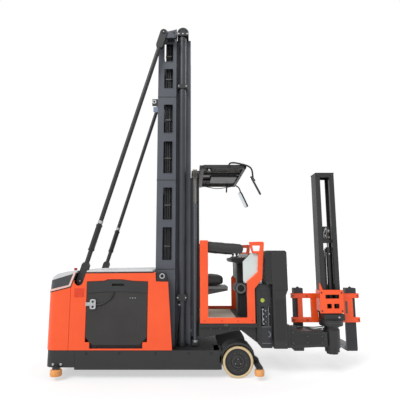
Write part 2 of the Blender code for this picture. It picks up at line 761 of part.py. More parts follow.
def build_cab():
    frame = box((-0.125, 0.333), (-0.56, 0.56), (0.44, 0.60))
    weld(frame, box((-0.125, BEAM_X[0] - TOUCH), (-0.60, 0.60), (0.585, FLOOR_Z)))
    weld(frame, box((-0.150, -0.122), (-0.30, 0.30), (0.60, 1.30)))
    weld(frame, box((-0.20, -0.14), (-0.30, 0.30), (2.48, 2.58)))
    for _, side in SIDES:
        column = box(CAB_COLUMN_X, span(side, CAB_COLUMN_Y), CAB_COLUMN_Z)
        link = box((-0.225, -0.150), span(side, (0.237, 0.30)), (0.50, 1.30))
        cheek = box((-0.392, -0.180), span(side, (0.237, 0.255)), (0.50, 1.30))
        weld(frame, column, link, cheek)
        for z in (0.62, 1.18):
            roller_x = (INNER_X[0] + INNER_X[1]) / 2
            weld(frame, rod((roller_x, side * 0.245, z), (roller_x, side * 0.315, z), 0.0632))
        gusset = plate(
            "y",
            [(0.28, 0.59), (0.28, 0.52), (0.55, 0.36), (BEAM_X[0] - TOUCH, 0.345), (BEAM_X[0] - TOUCH, 0.59)],
            span(side, (0.50, 0.545)),
        )
        weld(frame, gusset)
        ear = box((CAB_COLUMN_X[0], CHAIN_X[1] + 0.02), span(side, (0.39, CHAIN_Y + CHAIN_THICK / 2)), CHAIN_EAR_Z)
        slot = box(
            (CHAIN_X[0] - RUN_GAP, CHAIN_X[1] + RUN_GAP),
            span(side, (CHAIN_Y - CHAIN_THICK / 2 - RUN_GAP, FREE_Y)),
            (CHAIN_EAR_Z[0] - 0.1, CHAIN_EAR_Z[1] + 0.1),
        )
        carve(ear, slot)
        weld(frame, settle(ear))
    finish("cab_frame", frame, BLACK)

    inner_y = CAB_HALF_WIDTH - CAB_SIDE_THICK
    for name, side in SIDES:
        outline = [
            (-0.115, FLOOR_Z + TOUCH),
            (0.571, FLOOR_Z + TOUCH),
            (0.571, 1.046),
            (0.680, 1.182),
            (0.699, 1.649),
            (0.538, 1.649),
            (0.545, 1.480),
            (0.650, 1.480),
            (0.638, 1.205),
            (0.540, 1.100),
            (0.479, 1.060),
            (0.479, 0.704),
            (-0.010, 0.704),
            (-0.010, 1.668),
            (-0.115, 1.668),
        ]
        hole = rectangle((0.556, 0.670), (1.521, 1.598))
        frame_side = plate("y", outline, span(side, (inner_y, CAB_HALF_WIDTH)), [hole])
        finish(f"cab_side_{name}", soften(frame_side, 0.008), ORANGE)
        pane = plate(
            "y",
            [(0.465, 1.145), (0.600, 1.145), (0.655, 1.205), (0.664, 1.492), (0.500, 1.492)],
            span(side, (inner_y - 0.0063, inner_y - TOUCH)),
        )
        finish(f"side_pane_{name}", pane, PALE)
    finish("floor_mat", box((-0.114, 0.560), (-0.584, 0.584), (FLOOR_Z + TOUCH, MAT_TOP_Z)), MAT)

    seat_plate = box((-0.1217, 0.295), (-0.20, 0.20), (1.025, 1.070))
    arm = plate("y", [(-0.1217, 0.90), (-0.05, 0.93), (0.28, 1.03), (-0.1217, 1.03)], (-0.06, 0.06))
    finish("seat_bracket", weld(seat_plate, arm), GREY)
    cushion = box((-0.04, 0.295), (-0.21, 0.21), (1.070 + TOUCH, 1.160))
    back = box((-0.115, 0.02), (-0.21, 0.21), (1.080, 1.235))
    finish("seat", soften(weld(cushion, back), 0.02, 2), SEAT)

    console = box((0.415, 0.500), (-0.11, 0.11), (MAT_TOP_Z + TOUCH, 1.40))
    skirt = plate("y", [(0.43, MAT_TOP_Z + TOUCH), (0.575, MAT_TOP_Z + TOUCH), (0.52, 1.107), (0.43, 1.107)], (-0.14, 0.14))
    head = plate("y", [(0.30, 1.425), (0.34, 1.375), (0.62, 1.375), (0.657, 1.43), (0.60, 1.475), (0.34, 1.465)], (-0.40, 0.40))
    finish("console", weld(console, skirt, head), BLACK)

    guard = box((GUARD_X[0], GUARD_X[0] + 0.06), (-GUARD_HALF_WIDTH, GUARD_HALF_WIDTH), (GUARD_Z - 0.03, GUARD_Z + 0.02))
    for y in (-GUARD_HALF_WIDTH + 0.02, -0.23, 0.23, GUARD_HALF_WIDTH - 0.02):
        weld(guard, box((GUARD_X[0] + 0.02, GUARD_X[1]), (y - 0.02, y + 0.02), (GUARD_Z - 0.02, GUARD_Z + 0.02)))
    weld(guard, box((GUARD_X[1] - 0.04, GUARD_X[1]), (-GUARD_HALF_WIDTH, GUARD_HALF_WIDTH), (GUARD_Z - 0.02, GUARD_Z + 0.02)))
    for _, side in SIDES:
        weld(guard, box((-0.215, -0.08), span(side, (0.285, 0.395)), (CAB_COLUMN_Z[1] + TOUCH, GUARD_Z + 0.01)))
    finish("guard_frame", guard, BLACK)
    finish(
        "guard_sheet",
        box((GUARD_X[0] + 0.05, GUARD_X[1]), (-GUARD_HALF_WIDTH, GUARD_HALF_WIDTH), (GUARD_Z + 0.02 + TOUCH, GUARD_Z + 0.026)),
        SHEET,
    )
    for name, side in SIDES:
        y = side * (GUARD_HALF_WIDTH - 0.02)
        arm = tube([(0.5008, y, GUARD_Z), (0.55, y, GUARD_Z), (0.61, y, GUARD_Z - 0.03), (0.62, y, 2.50)], 0.012)
        glass = rod((0.62, y - 0.012, 2.41), (0.62, y + 0.012, 2.41), 0.10)
        finish(f"mirror_{name}", weld(arm, glass), BLACK, smooth=True)

    beam = box(BEAM_X, (-BEAM_HALF, BEAM_HALF), BEAM_Z)
    for low, high in ((0.42, 0.52), (0.94, 1.04)):
        carve(beam, box((0.70, 0.80), (-BEAM_HALF + 0.02, BEAM_HALF - 0.02), (low, high)))
    finish("traverse_beam", beam, BLACK)


def build_barriers():
    for name, side in SIDES:
        y = side * 0.555
        pivot = (-0.03, y, 1.625)
        arm = rod((-0.03, y, 1.625), (0.54, y, 1.545), 0.022)
        boss = rod((-0.03, y - 0.020, 1.625), (-0.03, y + 0.020, 1.625), 0.032)
        pin = rod((-0.03, y, 1.625), (-0.03, side * (CAB_HALF_WIDTH - CAB_SIDE_THICK - TOUCH), 1.625), 0.012)
        finish(f"barrier_{name}", weld(arm, boss, pin), RUBBER, origin=pivot, smooth=True)


def build_head():
    y_range = (HEAD_Y - TOWER_HALF, HEAD_Y + TOWER_HALF)
    back_x = BEAM_X[1] + RUN_GAP
    outline = [
        (0.708, BEAM_Z[1] + TOUCH),
        (back_x, BEAM_Z[1] + TOUCH),
        (back_x, 0.341),
        (0.965, 0.341),
        (0.965, 1.07),
        (TOWER_FRONT_X, 1.13),
        (TOWER_FRONT_X, TOWER_TOP_Z - 0.02),
        (TOWER_FRONT_X - 0.02, TOWER_TOP_Z),
        (0.728, TOWER_TOP_Z),
        (0.708, TOWER_TOP_Z - 0.02),
    ]
    tower = plate("y", outline, y_range)
    for low, high in ((0.42, 0.52), (0.94, 1.04)):
        weld(
            tower,
            box((0.706, 0.78), (HEAD_Y - 0.05, HEAD_Y + 0.05), (low + RUN_GAP, high - RUN_GAP)),
        )
    finish("head_tower", tower, BLACK)
    arm = plate(
        "y",
        [
            (0.965 + TOUCH, 0.341),
            (1.52, 0.341),
            (1.52, 0.545),
            (1.185, 0.553),
            (0.985, 0.705),
            (0.965 + TOUCH, 0.705),
        ],
        (HEAD_Y - ARM_HALF, HEAD_Y + ARM_HALF),
    )
    carve(arm, rod((PIVOT_X, HEAD_Y, 0.2), (PIVOT_X, HEAD_Y, 0.7), PIVOT_RADIUS + 0.012 + TOUCH, segments=48))
    foot = plate("y", [(1.055, 0.350), (1.075, 0.317), (1.150, 0.317), (1.165, 0.350)], (HEAD_Y - 0.06, HEAD_Y + 0.06))
    weld(arm, foot)
    finish("head_arm", arm, BLACK)
    housing = rod((PIVOT_X, HEAD_Y, 0.283), (PIVOT_X, HEAD_Y, 0.594), PIVOT_RADIUS, segments=48)
    weld(housing, rod((PIVOT_X, HEAD_Y, 0.330), (PIVOT_X, HEAD_Y, 0.550), PIVOT_RADIUS + 0.012, segments=48))
    settle(housing)
    carve(housing, rod((PIVOT_X, HEAD_Y, 0.2), (PIVOT_X, HEAD_Y, 0.7), SHAFT_RADIUS + PIN_PLAY, segments=48))
    finish("pivot_housing", housing, BLACK, smooth=True)


def build_swivel():
    shaft = rod((PIVOT_X, HEAD_Y, 0.275), (PIVOT_X, HEAD_Y, 0.62), SHAFT_RADIUS, segments=48)
    nut = rod((PIVOT_X, HEAD_Y, 0.255), (PIVOT_X, HEAD_Y, 0.2775), SHAFT_RADIUS + 0.015, segments=48)
    disc = rod((PIVOT_X, HEAD_Y, 0.600), (PIVOT_X, HEAD_Y, 0.673), 0.147, segments=48)
    deck = box((1.45, 1.715), (-0.585, -0.36), (0.665, 0.745))
    weld(shaft, nut, disc, deck)
    finish("turntable", shaft, BLACK, origin=(PIVOT_X, HEAD_Y, 0.0), smooth=True)
    mast = box(AUX_X, AUX_Y, (0.745 + TOUCH, AUX_Z[1]))
    core = box(
        (AUX_X[0] + AUX_WALL, AUX_X[1] - AUX_WALL),
        (AUX_Y[0] + AUX_WALL, AUX_Y[1] - AUX_WALL),
        (0.76, 2.545),
    )
    slot = box((1.496, 1.612), (AUX_Y[0] - 0.1, AUX_Y[0] + 0.1), (0.80, 2.515))
    mouth = box((1.515, 1.655), (AUX_Y[1] - 0.1, AUX_Y[1] + 0.1), (0.5, 2.515))
    carve(mast, core, slot, mouth)
    finish("aux_mast", mast, BLACK)
    bracket = box((1.397, 1.716), (-0.580, AUX_Y[0] - TOUCH), (0.757, 1.042))
    carve(bracket, box((1.49, 1.66), (-0.7, -0.5), (0.93, 0.985)))
    carve(bracket, box((1.505, 1.66), (-0.7, -0.5), (0.81, 0.865)))
    ear = box((1.397, 1.452), (-0.580, AUX_Y[0] - TOUCH), (1.03, 1.153))
    finish("mast_bracket", weld(bracket, ear), ORANGE)
    barrel = rod((1.585, -0.475, 0.7601), (1.585, -0.475, 1.59), 0.032)
    carve(barrel, rod((1.585, -0.475, 0.80), (1.585, -0.475, 1.55), 0.024))
    carve(barrel, rod((1.585, -0.475, 0.80), (1.585, -0.475, 1.7), 0.016 + PIN_PLAY))
    finish("aux_cylinder", barrel, GREY, smooth=True)
    piston = rod((1.585, -0.475, 0.83), (1.585, -0.475, 1.66), 0.016)
    block = box((1.525, 1.645), (-0.500, -0.450), (1.61, 1.86))
    weld(piston, block)
    finish("aux_rod", piston, STEEL)


def build_carriage():
    upper = box(BAR_X, BAR_Y, UPPER_BAR_Z)
    lower = box(BAR_X, BAR_Y, LOWER_BAR_Z)
    weld(upper, lower)
    for low, high in ((1.200, 1.256), (1.363, 1.470), (1.520, 1.650), (1.871, 1.933)):
        weld(upper, box((low, high), (BAR_Y[0] + 0.004, BAR_Y[1] - 0.004), (0.61, 0.97)))
    weld(upper, box((1.525, 1.645), (-0.43, BAR_Y[0] + 0.02), (0.80, 1.10)))
    for z in (0.85, 1.05):
        weld(upper, rod((1.4863, -0.40, z), (1.6827, -0.40, z), 0.030))
    finish("fork_carriage", upper, ORANGE)
    shank_y = (BAR_Y[1] + TOUCH, BAR_Y[1] + TOUCH + FORK_THICK)
    for name, low, high in FORKS_X:
        profile = [
            (shank_y[0], 1.050),
            (BAR_Y[0] - 0.004, 1.050),
            (BAR_Y[0] - 0.004, UPPER_BAR_Z[1] + TOUCH),
            (shank_y[0], UPPER_BAR_Z[1] + TOUCH),
            (shank_y[0], FORK_BOTTOM_Z + 0.02),
            (shank_y[0] + 0.02, FORK_BOTTOM_Z),
            (0.20, FORK_BOTTOM_Z),
            (FORK_TIP_Y, FORK_BOTTOM_Z + 0.012),
            (FORK_TIP_Y, FORK_BOTTOM_Z + 0.026),
            (0.20, FORK_BOTTOM_Z + FORK_THICK),
            (shank_y[1] + 0.03, FORK_BOTTOM_Z + FORK_THICK),
            (shank_y[1], FORK_BOTTOM_Z + FORK_THICK + 0.03),
            (shank_y[1], 1.050),
        ]
        finish(f"fork_{name}", plate("x", profile[1:], (low, high)), BLACK)


def build_wheels():
    for name, side in SIDES:
        centre = (WHEEL_X, side * (WHEEL_Y[0] + WHEEL_Y[1]) / 2, WHEEL_RADIUS)
        low = (WHEEL_X, side * WHEEL_Y[0], WHEEL_RADIUS)
        high = (WHEEL_X, side * WHEEL_Y[1], WHEEL_RADIUS)
        tread = rod(low, high, WHEEL_RADIUS, segments=64)
        bore = rod(
            (WHEEL_X, side * (WHEEL_Y[0] - 0.05), WHEEL_RADIUS),
            (WHEEL_X, side * (WHEEL_Y[1] + 0.05), WHEEL_RADIUS),
            WHEEL_RADIUS - TREAD_THICK,
            segments=64,
        )
        carve(tread, bore)
        finish(f"load_tyre_{name}", tread, CREAM, origin=centre, smooth=True)
        hub = rod(
            (WHEEL_X, side * (WHEEL_Y[0] + 0.006), WHEEL_RADIUS),
            (WHEEL_X, side * (WHEEL_Y[1] - 0.006), WHEEL_RADIUS),
            WHEEL_RADIUS - TREAD_THICK - TOUCH,
            segments=64,
        )
        hole = rod(
            (WHEEL_X, side * (WHEEL_Y[0] - 0.05), WHEEL_RADIUS),
            (WHEEL_X, side * (WHEEL_Y[1] + 0.05), WHEEL_RADIUS),
            AXLE_RADIUS + PIN_PLAY,
            segments=32,
        )
        carve(hub, hole)
        finish(f"load_hub_{name}", hub, BLACK, origin=centre, smooth=True)
        for place, x, y, radius, low_z, high_z in GUIDE_ROLLERS:
            roller = rod((x, side * y, low_z), (x, side * y, high_z), radius, segments=48)
            carve(roller, rod((x, side * y, 0), (x, side * y, 1), GUIDE_PIN_RADIUS + PIN_PLAY))
            finish(
                f"guide_roller_{place}_{name}",
                roller,
                ROLLER_ORANGE,
                origin=(x, side * y, (low_z + high_z) / 2),
                smooth=True,
            )
    half = DRIVE_WIDTH / 2
    tyre = rod((DRIVE_X, -half, DRIVE_RADIUS), (DRIVE_X, half, DRIVE_RADIUS), DRIVE_RADIUS, segments=64)
    carve(tyre, rod((DRIVE_X, -half - 0.1, DRIVE_RADIUS), (DRIVE_X, half + 0.1, DRIVE_RADIUS), 0.024 + PIN_PLAY))
    finish("drive_wheel", tyre, RUBBER, origin=(DRIVE_X, 0, DRIVE_RADIUS), smooth=True)
    cheek = box((DRIVE_X - 0.04, DRIVE_X + 0.04), (-half - 0.028, -half - 0.006), (0.13, 0.36))
    post = rod((DRIVE_X, 0, 0.345), (DRIVE_X, 0, 0.62), DRIVE_POST_RADIUS)
    crown = box((DRIVE_X - 0.05, DRIVE_X + 0.05), (-half - 0.028, half + 0.028), (0.335, 0.360))
    axle = rod((DRIVE_X, -half - 0.02, DRIVE_RADIUS), (DRIVE_X, half - 0.01, DRIVE_RADIUS), 0.024)
    weld(post, crown, cheek, axle)
    finish("drive_fork", post, GREY, origin=(DRIVE_X, 0, DRIVE_RADIUS))


build_base_frame()
build_body_panels()
build_battery()
build_struts()
build_outer_mast()
build_inner_mast()
build_free_lift()
build_cab()
build_barriers()
build_head()
build_swivel()
build_carriage()
build_wheels()

for leftover in CUTTERS.objects:
    leftover.hide_render = True
    leftover.display_type = "WIRE"
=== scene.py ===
"""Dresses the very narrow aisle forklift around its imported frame.

Metres, +X is the front where the forks are, +Y the left side, +Z up, the floor is z = 0.
"""

import json
import logging
import math
from dataclasses import dataclass
from enum import Enum
from typing import Iterable, Sequence

import bmesh
import bpy
from mathutils import Euler, Matrix, Vector
from mathutils.geometry import tessellate_polygon

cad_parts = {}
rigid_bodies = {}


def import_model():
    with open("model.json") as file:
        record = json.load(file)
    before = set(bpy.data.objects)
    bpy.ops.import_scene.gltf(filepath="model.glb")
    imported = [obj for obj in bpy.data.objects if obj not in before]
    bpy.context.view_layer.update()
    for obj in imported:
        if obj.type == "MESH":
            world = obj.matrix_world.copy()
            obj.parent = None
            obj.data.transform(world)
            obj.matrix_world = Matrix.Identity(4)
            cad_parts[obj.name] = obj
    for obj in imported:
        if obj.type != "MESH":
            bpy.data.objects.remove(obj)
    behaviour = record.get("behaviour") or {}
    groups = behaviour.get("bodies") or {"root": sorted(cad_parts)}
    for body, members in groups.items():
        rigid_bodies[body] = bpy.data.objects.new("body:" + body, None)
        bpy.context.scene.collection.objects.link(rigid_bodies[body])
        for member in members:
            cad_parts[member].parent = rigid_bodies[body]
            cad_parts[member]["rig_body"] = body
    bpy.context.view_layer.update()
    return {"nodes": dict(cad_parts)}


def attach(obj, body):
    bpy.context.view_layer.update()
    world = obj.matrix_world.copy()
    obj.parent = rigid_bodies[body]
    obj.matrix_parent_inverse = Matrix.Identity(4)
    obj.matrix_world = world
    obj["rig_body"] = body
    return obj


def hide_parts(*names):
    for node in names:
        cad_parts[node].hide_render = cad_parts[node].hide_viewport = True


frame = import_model()

Point = Sequence[float]
Range = tuple[float, float]
Pair = tuple[float, float]
Screen = tuple[int, int, int]
Colour = tuple[float, float, float, float]
Flat = list[Pair]
Spot = tuple[Point, Euler]
Mesh = bmesh.types.BMesh
Loop = list[bmesh.types.BMVert]
Thing = bpy.types.Object
Socket = bpy.types.NodeSocket
Tree = bpy.types.NodeTree
Node = bpy.types.Node
Material = bpy.types.Material

SIDES: tuple[tuple[str, int], ...] = (("right", -1), ("left", 1))
SHARP_ANGLE = 38.0
CHAMFER = 0.0015
SPIN = 0.8
DUST: Screen = (168, 160, 150)
COLOUR_MIX = {"data_type": "RGBA"}

# Top of the slab, where the panels begin.
SILL = 0.3355

# Braces: x and height of the eye at each end, their distance from the middle, and the ears that hold them.
BRACE_LOW: Pair = (-1.630, 1.160)
BRACE_HIGH: Pair = (-0.611, 4.573)
BRACE_Y = 0.60
EAR_RADIUS = 0.040
EAR_HALF = 0.012

# x and height of the load wheels' axle.
LOAD_WHEEL: Pair = (0.346, 0.19)

# Guide rollers of one side: place, x, distance from the middle, radius, bottom and top.
GUIDES: tuple[tuple[str, float, float, float, float, float], ...] = (
    ("rear", -1.845, 0.725, 0.070, 0.050, 0.124),
    ("front", 0.591, 0.742, 0.058, 0.056, 0.131),
)

log = logging.getLogger("forklift")


class Axis(Enum):
    """Way a flat outline is pushed; the outline's two numbers are the other two axes in order."""

    X = "x"
    Y = "y"
    Z = "z"


class Relief(Enum):
    """Small surface form of a finish."""

    PEEL = "peel"
    GRAIN = "grain"
    BRUSHED = "brushed"
    RIBS = "ribs"
    LEATHER = "leather"
    CAST = "cast"


def srgb(screen: Screen) -> Colour:
    """Linear colour of a screen colour.

    Args:
        screen: Red, green and blue from 0 to 255.

    Returns:
        The linear values and an alpha of 1.
    """
    shares = [value / 255 for value in screen]
    linear = [share / 12.92 if share <= 0.04045 else ((share + 0.055) / 1.055) ** 2.4 for share in shares]
    return (*linear, 1.0)


def add_node(tree: Tree, kind: str, settings: dict[str, str] | None = None, **values: object) -> Node:
    """Add a node to a tree.

    Args:
        tree: The tree.
        kind: Type of the node.
        settings: Its own settings by name.
        values: Values of its inputs by name, with _ for a blank.

    Returns:
        The node.
    """
    made = tree.nodes.new(kind)
    for name, value in (settings or {}).items():
        setattr(made, name, value)
    set_inputs(made, **values)
    return made


def set_inputs(node: Node, **values: object) -> None:
    """Set a node's inputs by name, with _ for a blank."""
    for name, value in values.items():
        node.inputs[name.replace("_", " ")].default_value = value


@dataclass(frozen=True)
class Finish:
    """Paint, plastic or metal with its own grain, mottling and dust.

    The pattern is read in object coordinates, which are metres on every piece.
    """

    name: str
    colour: Screen
    shade: Screen
    roughness: Range = (0.40, 0.55)
    metallic: float = 0.0
    coat: float = 0.0
    sheen: float = 0.0
    relief: Relief = Relief.PEEL
    relief_scale: float = 260.0
    relief_depth: float = 0.06
    mottle_scale: float = 3.0
    speck: float = 0.0
    stretch: tuple[float, float, float] = (1.0, 1.0, 1.0)

    def build(self) -> Material:
        """Make the material with its nodes.

        Returns:
            The material.
        """
        material = bpy.data.materials.new(self.name)
        material.use_nodes = True
        tree = material.node_tree
        link = tree.links.new
        shader = tree.nodes["Principled BSDF"]
        place = add_node(tree, "ShaderNodeTexCoord").outputs["Object"]
        mottle = add_node(tree, "ShaderNodeTexNoise", Scale=self.mottle_scale, Detail=6.0, Roughness=0.62)
        link(place, mottle.inputs["Vector"])
        spread = add_node(tree, "ShaderNodeMapRange", From_Min=0.35, From_Max=0.72)
        link(mottle.outputs["Fac"], spread.inputs["Value"])
        blend = add_node(tree, "ShaderNodeMix", COLOUR_MIX, A=srgb(self.colour), B=srgb(self.shade))
        link(spread.outputs["Result"], blend.inputs["Factor"])
        link(self._specks(tree, place, blend.outputs["Result"]), shader.inputs["Base Color"])
        gloss = add_node(tree, "ShaderNodeMapRange", To_Min=self.roughness[0], To_Max=self.roughness[1])
        link(mottle.outputs["Fac"], gloss.inputs["Value"])
        link(gloss.outputs["Result"], shader.inputs["Roughness"])
        set_inputs(shader, Metallic=self.metallic, Coat_Weight=self.coat, Sheen_Weight=self.sheen)
        set_inputs(shader, Coat_Roughness=0.12)
        bump = add_node(tree, "ShaderNodeBump", Strength=self.relief_depth, Distance=0.004)
        link(self._relief(tree, place), bump.inputs["Height"])
        link(bump.outputs["Normal"], shader.inputs["Normal"])
        return material

    def _specks(self, tree: Tree, place: Socket, colour: Socket) -> Socket:
        """Lay small dust specks and rubs over a colour.

        Args:
            tree: Nodes of the material.
            place: Object coordinates.
            colour: Colour under the specks.

        Returns:
            The socket of the finished colour.
        """
        if self.speck <= 0:
            return colour
        dust = add_node(tree, "ShaderNodeTexNoise", Scale=55.0, Detail=9.0, Roughness=0.75)
        tree.links.new(place, dust.inputs["Vector"])
        limit = add_node(tree, "ShaderNodeMapRange", From_Min=0.62, From_Max=0.80, To_Max=self.speck)
        tree.links.new(dust.outputs["Fac"], limit.inputs["Value"])
        over = add_node(tree, "ShaderNodeMix", COLOUR_MIX, B=srgb(DUST))
        tree.links.new(colour, over.inputs["A"])
        tree.links.new(limit.outputs["Result"], over.inputs["Factor"])
        return over.outputs["Result"]

    def _relief(self, tree: Tree, place: Socket) -> Socket:
        """Build the height that the bump reads.

        Args:
            tree: Nodes of the material.
            place: Object coordinates.

        Returns:
            The socket of the height.
        """
        mapping = add_node(tree, "ShaderNodeMapping", Scale=self.stretch)
        tree.links.new(place, mapping.inputs["Vector"])
        size = self.relief_scale
        if self.relief is Relief.RIBS:
            bands = {"wave_type": "BANDS", "bands_direction": "X"}
            form, height = add_node(tree, "ShaderNodeTexWave", bands, Scale=size, Distortion=0.0), "Fac"
        elif self.relief in (Relief.GRAIN, Relief.LEATHER):
            feature = {"feature": "F1" if self.relief is Relief.GRAIN else "SMOOTH_F1"}
            form, height = add_node(tree, "ShaderNodeTexVoronoi", feature, Scale=size), "Distance"
        else:
            detail = 8.0 if self.relief is Relief.CAST else 2.0
            form, height = add_node(tree, "ShaderNodeTexNoise", Scale=size, Detail=detail), "Fac"
        tree.links.new(mapping.outputs["Vector"], form.inputs["Vector"])
        return form.outputs[height]


class Finishes:
    """All finishes of the truck, each made once."""

    PALETTE: tuple[Finish, ...] = (
        Finish("orange_paint", (250, 87, 24), (243, 78, 19), (0.30, 0.42), coat=0.25, speck=0.05),
        # Darker copy of the orange paint: painted shade for the louvre bars and the sill rivets.
        Finish("orange_deep", (228, 62, 20), (216, 54, 16), (0.36, 0.50), coat=0.15, speck=0.08),
        Finish("black_paint", (33, 34, 35), (27, 28, 29), (0.38, 0.55), speck=0.10),
        Finish(
            "soft_black", (26, 27, 28), (21, 22, 23), (0.50, 0.68), relief=Relief.GRAIN, relief_scale=600.0
        ),
        Finish("mast_paint", (82, 86, 94), (71, 75, 82), (0.34, 0.50), metallic=0.15, speck=0.10),
        # Darker copy of the mast paint: painted shade on the inner mast and the lift cylinders, which stand
        # among the columns.
        Finish("mast_dark", (56, 59, 65), (47, 50, 55), (0.34, 0.50), metallic=0.15, speck=0.10),
        Finish("beam_paint", (44, 46, 50), (36, 38, 42), (0.36, 0.50), metallic=0.15, speck=0.10),
        Finish(
            "hood_plastic", (208, 209, 210), (194, 195, 197), (0.42, 0.58), relief=Relief.GRAIN,
            relief_scale=700.0, relief_depth=0.03, speck=0.06,
        ),
        Finish("smoked_window", (40, 44, 48), (34, 37, 41), (0.06, 0.12), coat=0.6, relief_depth=0.0),
        Finish(
            "door_plastic", (42, 41, 40), (35, 34, 33), (0.50, 0.64), relief=Relief.GRAIN, relief_scale=520.0,
            relief_depth=0.10, speck=0.10,
        ),
        Finish(
            "cap_plastic", (38, 39, 41), (32, 33, 35), (0.46, 0.60), relief=Relief.GRAIN, relief_scale=520.0,
            relief_depth=0.08, speck=0.08,
        ),
        Finish(
            "cream_tread", (226, 203, 158), (212, 186, 140), (0.38, 0.52), relief=Relief.CAST,
            relief_scale=70.0, relief_depth=0.10, mottle_scale=16.0, speck=0.25,
        ),
        Finish(
            "roller_urethane", (240, 172, 104), (228, 150, 80), (0.34, 0.48), mottle_scale=20.0, speck=0.20
        ),
        Finish(
            "bright_steel", (172, 175, 180), (150, 153, 158), (0.22, 0.38), metallic=0.9,
            relief=Relief.BRUSHED, relief_scale=240.0, stretch=(1.0, 1.0, 0.06),
        ),
        Finish("zinc", (186, 188, 190), (160, 162, 166), (0.30, 0.46), metallic=0.85, mottle_scale=60.0),
        Finish("dark_steel", (92, 90, 88), (70, 68, 66), (0.32, 0.48), metallic=0.8, mottle_scale=30.0),
        Finish("chain_steel", (104, 100, 94), (78, 74, 70), (0.30, 0.46), metallic=0.85, mottle_scale=60.0),
        Finish(
            "cream_mat", (214, 202, 184), (196, 184, 166), (0.66, 0.82), relief=Relief.RIBS,
            relief_scale=12.0, relief_depth=0.35, speck=0.25,
        ),
        Finish(
            "seat_vinyl", (44, 44, 46), (37, 37, 39), (0.46, 0.62), relief=Relief.LEATHER, relief_scale=240.0,
            relief_depth=0.22, sheen=0.1,
        ),
        Finish(
            "pad_vinyl", (41, 41, 43), (34, 34, 36), (0.42, 0.58), relief=Relief.LEATHER, relief_scale=260.0,
            relief_depth=0.20, sheen=0.1,
        ),
        Finish("grey_paint", (124, 126, 128), (108, 110, 112), (0.40, 0.55), speck=0.12),
        Finish("pale_sheet", (212, 222, 220), (196, 208, 206), (0.10, 0.22), coat=0.4, relief_depth=0.0),
        Finish("guard_sheet", (74, 75, 70), (63, 64, 59), (0.30, 0.46), coat=0.2, speck=0.15),
        Finish(
            "battery_case", (56, 57, 62), (48, 49, 54), (0.52, 0.66), relief=Relief.CAST, relief_scale=90.0
        ),
        Finish(
            "black_rubber", (34, 34, 35), (28, 28, 29), (0.56, 0.74), relief=Relief.CAST, relief_scale=180.0
        ),
        Finish("hose_rubber", (33, 34, 36), (27, 28, 30), (0.36, 0.50), mottle_scale=30.0),
        Finish(
            "mirror_glass", (198, 206, 212), (188, 196, 202), (0.03, 0.06), metallic=1.0, relief_depth=0.0
        ),
        Finish("lamp_lens", (232, 236, 238), (214, 220, 224), (0.05, 0.10), coat=0.6, relief_depth=0.0),
        Finish("signal_red", (176, 52, 40), (160, 44, 34), (0.30, 0.42), coat=0.3),
        Finish("signal_yellow", (228, 190, 40), (212, 174, 32), (0.34, 0.46), coat=0.2),
        Finish("signal_green", (176, 196, 62), (160, 180, 52), (0.34, 0.46), coat=0.2),
        Finish("clip_blue", (120, 136, 160), (104, 120, 146), (0.34, 0.46), coat=0.2),
        Finish("pin_stripe", (236, 196, 186), (228, 184, 172), (0.34, 0.46), coat=0.2),
        Finish(
            "fork_steel", (52, 53, 56), (42, 43, 46), (0.30, 0.52), metallic=0.35, mottle_scale=8.0,
            speck=0.22,
        ),
        # Pale bluish steel that paints a highlight on the left fork's inner side.
        Finish("blue_steel", (142, 158, 178), (120, 134, 152), (0.28, 0.42), metallic=0.6, mottle_scale=14.0),
        # Near-black for painted shade inside holes and slots, and for dark seam lines.
        Finish("void_black", (18, 18, 19), (14, 14, 15), (0.70, 0.85)),
    )

    def __init__(self) -> None:
        """Build every material of the palette."""
        self._made = {finish.name: finish.build() for finish in self.PALETTE}

    def __getitem__(self, name: str) -> Material:
        """Material with that name."""
        return self._made[name]


def joined(bm: Mesh, other: Mesh) -> Mesh:
    """Take one mesh into another.

    Args:
        bm: Mesh that grows.
        other: Mesh that is used up.

    Returns:
        The mesh that grew.
    """
    carrier = bpy.data.meshes.new("carrier")
    other.to_mesh(carrier)
    other.free()
    bm.from_mesh(carrier)
    bpy.data.meshes.remove(carrier)
    return bm


def skin(bm: Mesh, loops: Sequence[Loop], closed: bool = False, caps: bool = False) -> Mesh:
    """Join loops of corners with faces.

    Args:
        bm: Mesh that holds the corners.
        loops: Loops in order, each with as many corners.
        closed: True where the last loop joins the first.
        caps: True where a face fills the first and the last loop.

    Returns:
        The same mesh.
    """
    count = len(loops[0])
    for low, high in zip(loops, [*loops[1:], loops[0]] if closed else loops[1:]):
        for step in range(count):
            after = (step + 1) % count
            bm.faces.new((low[step], low[after], high[after], high[step]))
    if caps:
        bm.faces.new(list(reversed(loops[0])))
        bm.faces.new(loops[-1])
    return bm


def bevelled(bm: Mesh, width: float, steps: int = 2, angle: float = 30.0) -> Mesh:
    """Round the sharp edges of a mesh.

    Args:
        bm: Mesh that is changed.
        width: Width of the rounding.
        steps: Faces across the rounding.
        angle: Least angle in degrees of an edge that is rounded.

    Returns:
        The same mesh.
    """
    if width <= 0:
        return bm
    limit = math.radians(angle)
    edges = [e for e in bm.edges if len(e.link_faces) == 2 and e.calc_face_angle(0.0) > limit]
    if edges:
        bmesh.ops.bevel(
            bm, geom=edges, offset=width, segments=steps, profile=0.5, affect="EDGES", clamp_overlap=True
        )
    return bm


def box(x: Range, y: Range, z: Range, edge: float = 0.002, steps: int = 2) -> Mesh:
    """Block with rounded edges.

    Args:
        x: Limits along X.
        y: Limits along Y.
        z: Limits along Z.
        edge: Width of the rounding.
        steps: Faces across the rounding.

    Returns:
        The mesh.
    """
    bm = bmesh.new()
    bmesh.ops.create_cube(bm, size=1.0)
    low = Vector((min(x), min(y), min(z)))
    high = Vector((max(x), max(y), max(z)))
    bmesh.ops.scale(bm, vec=high - low, verts=bm.verts)
    bmesh.ops.translate(bm, vec=(low + high) / 2, verts=bm.verts)
    return bevelled(bm, min(edge, min(high - low) * 0.45), steps)


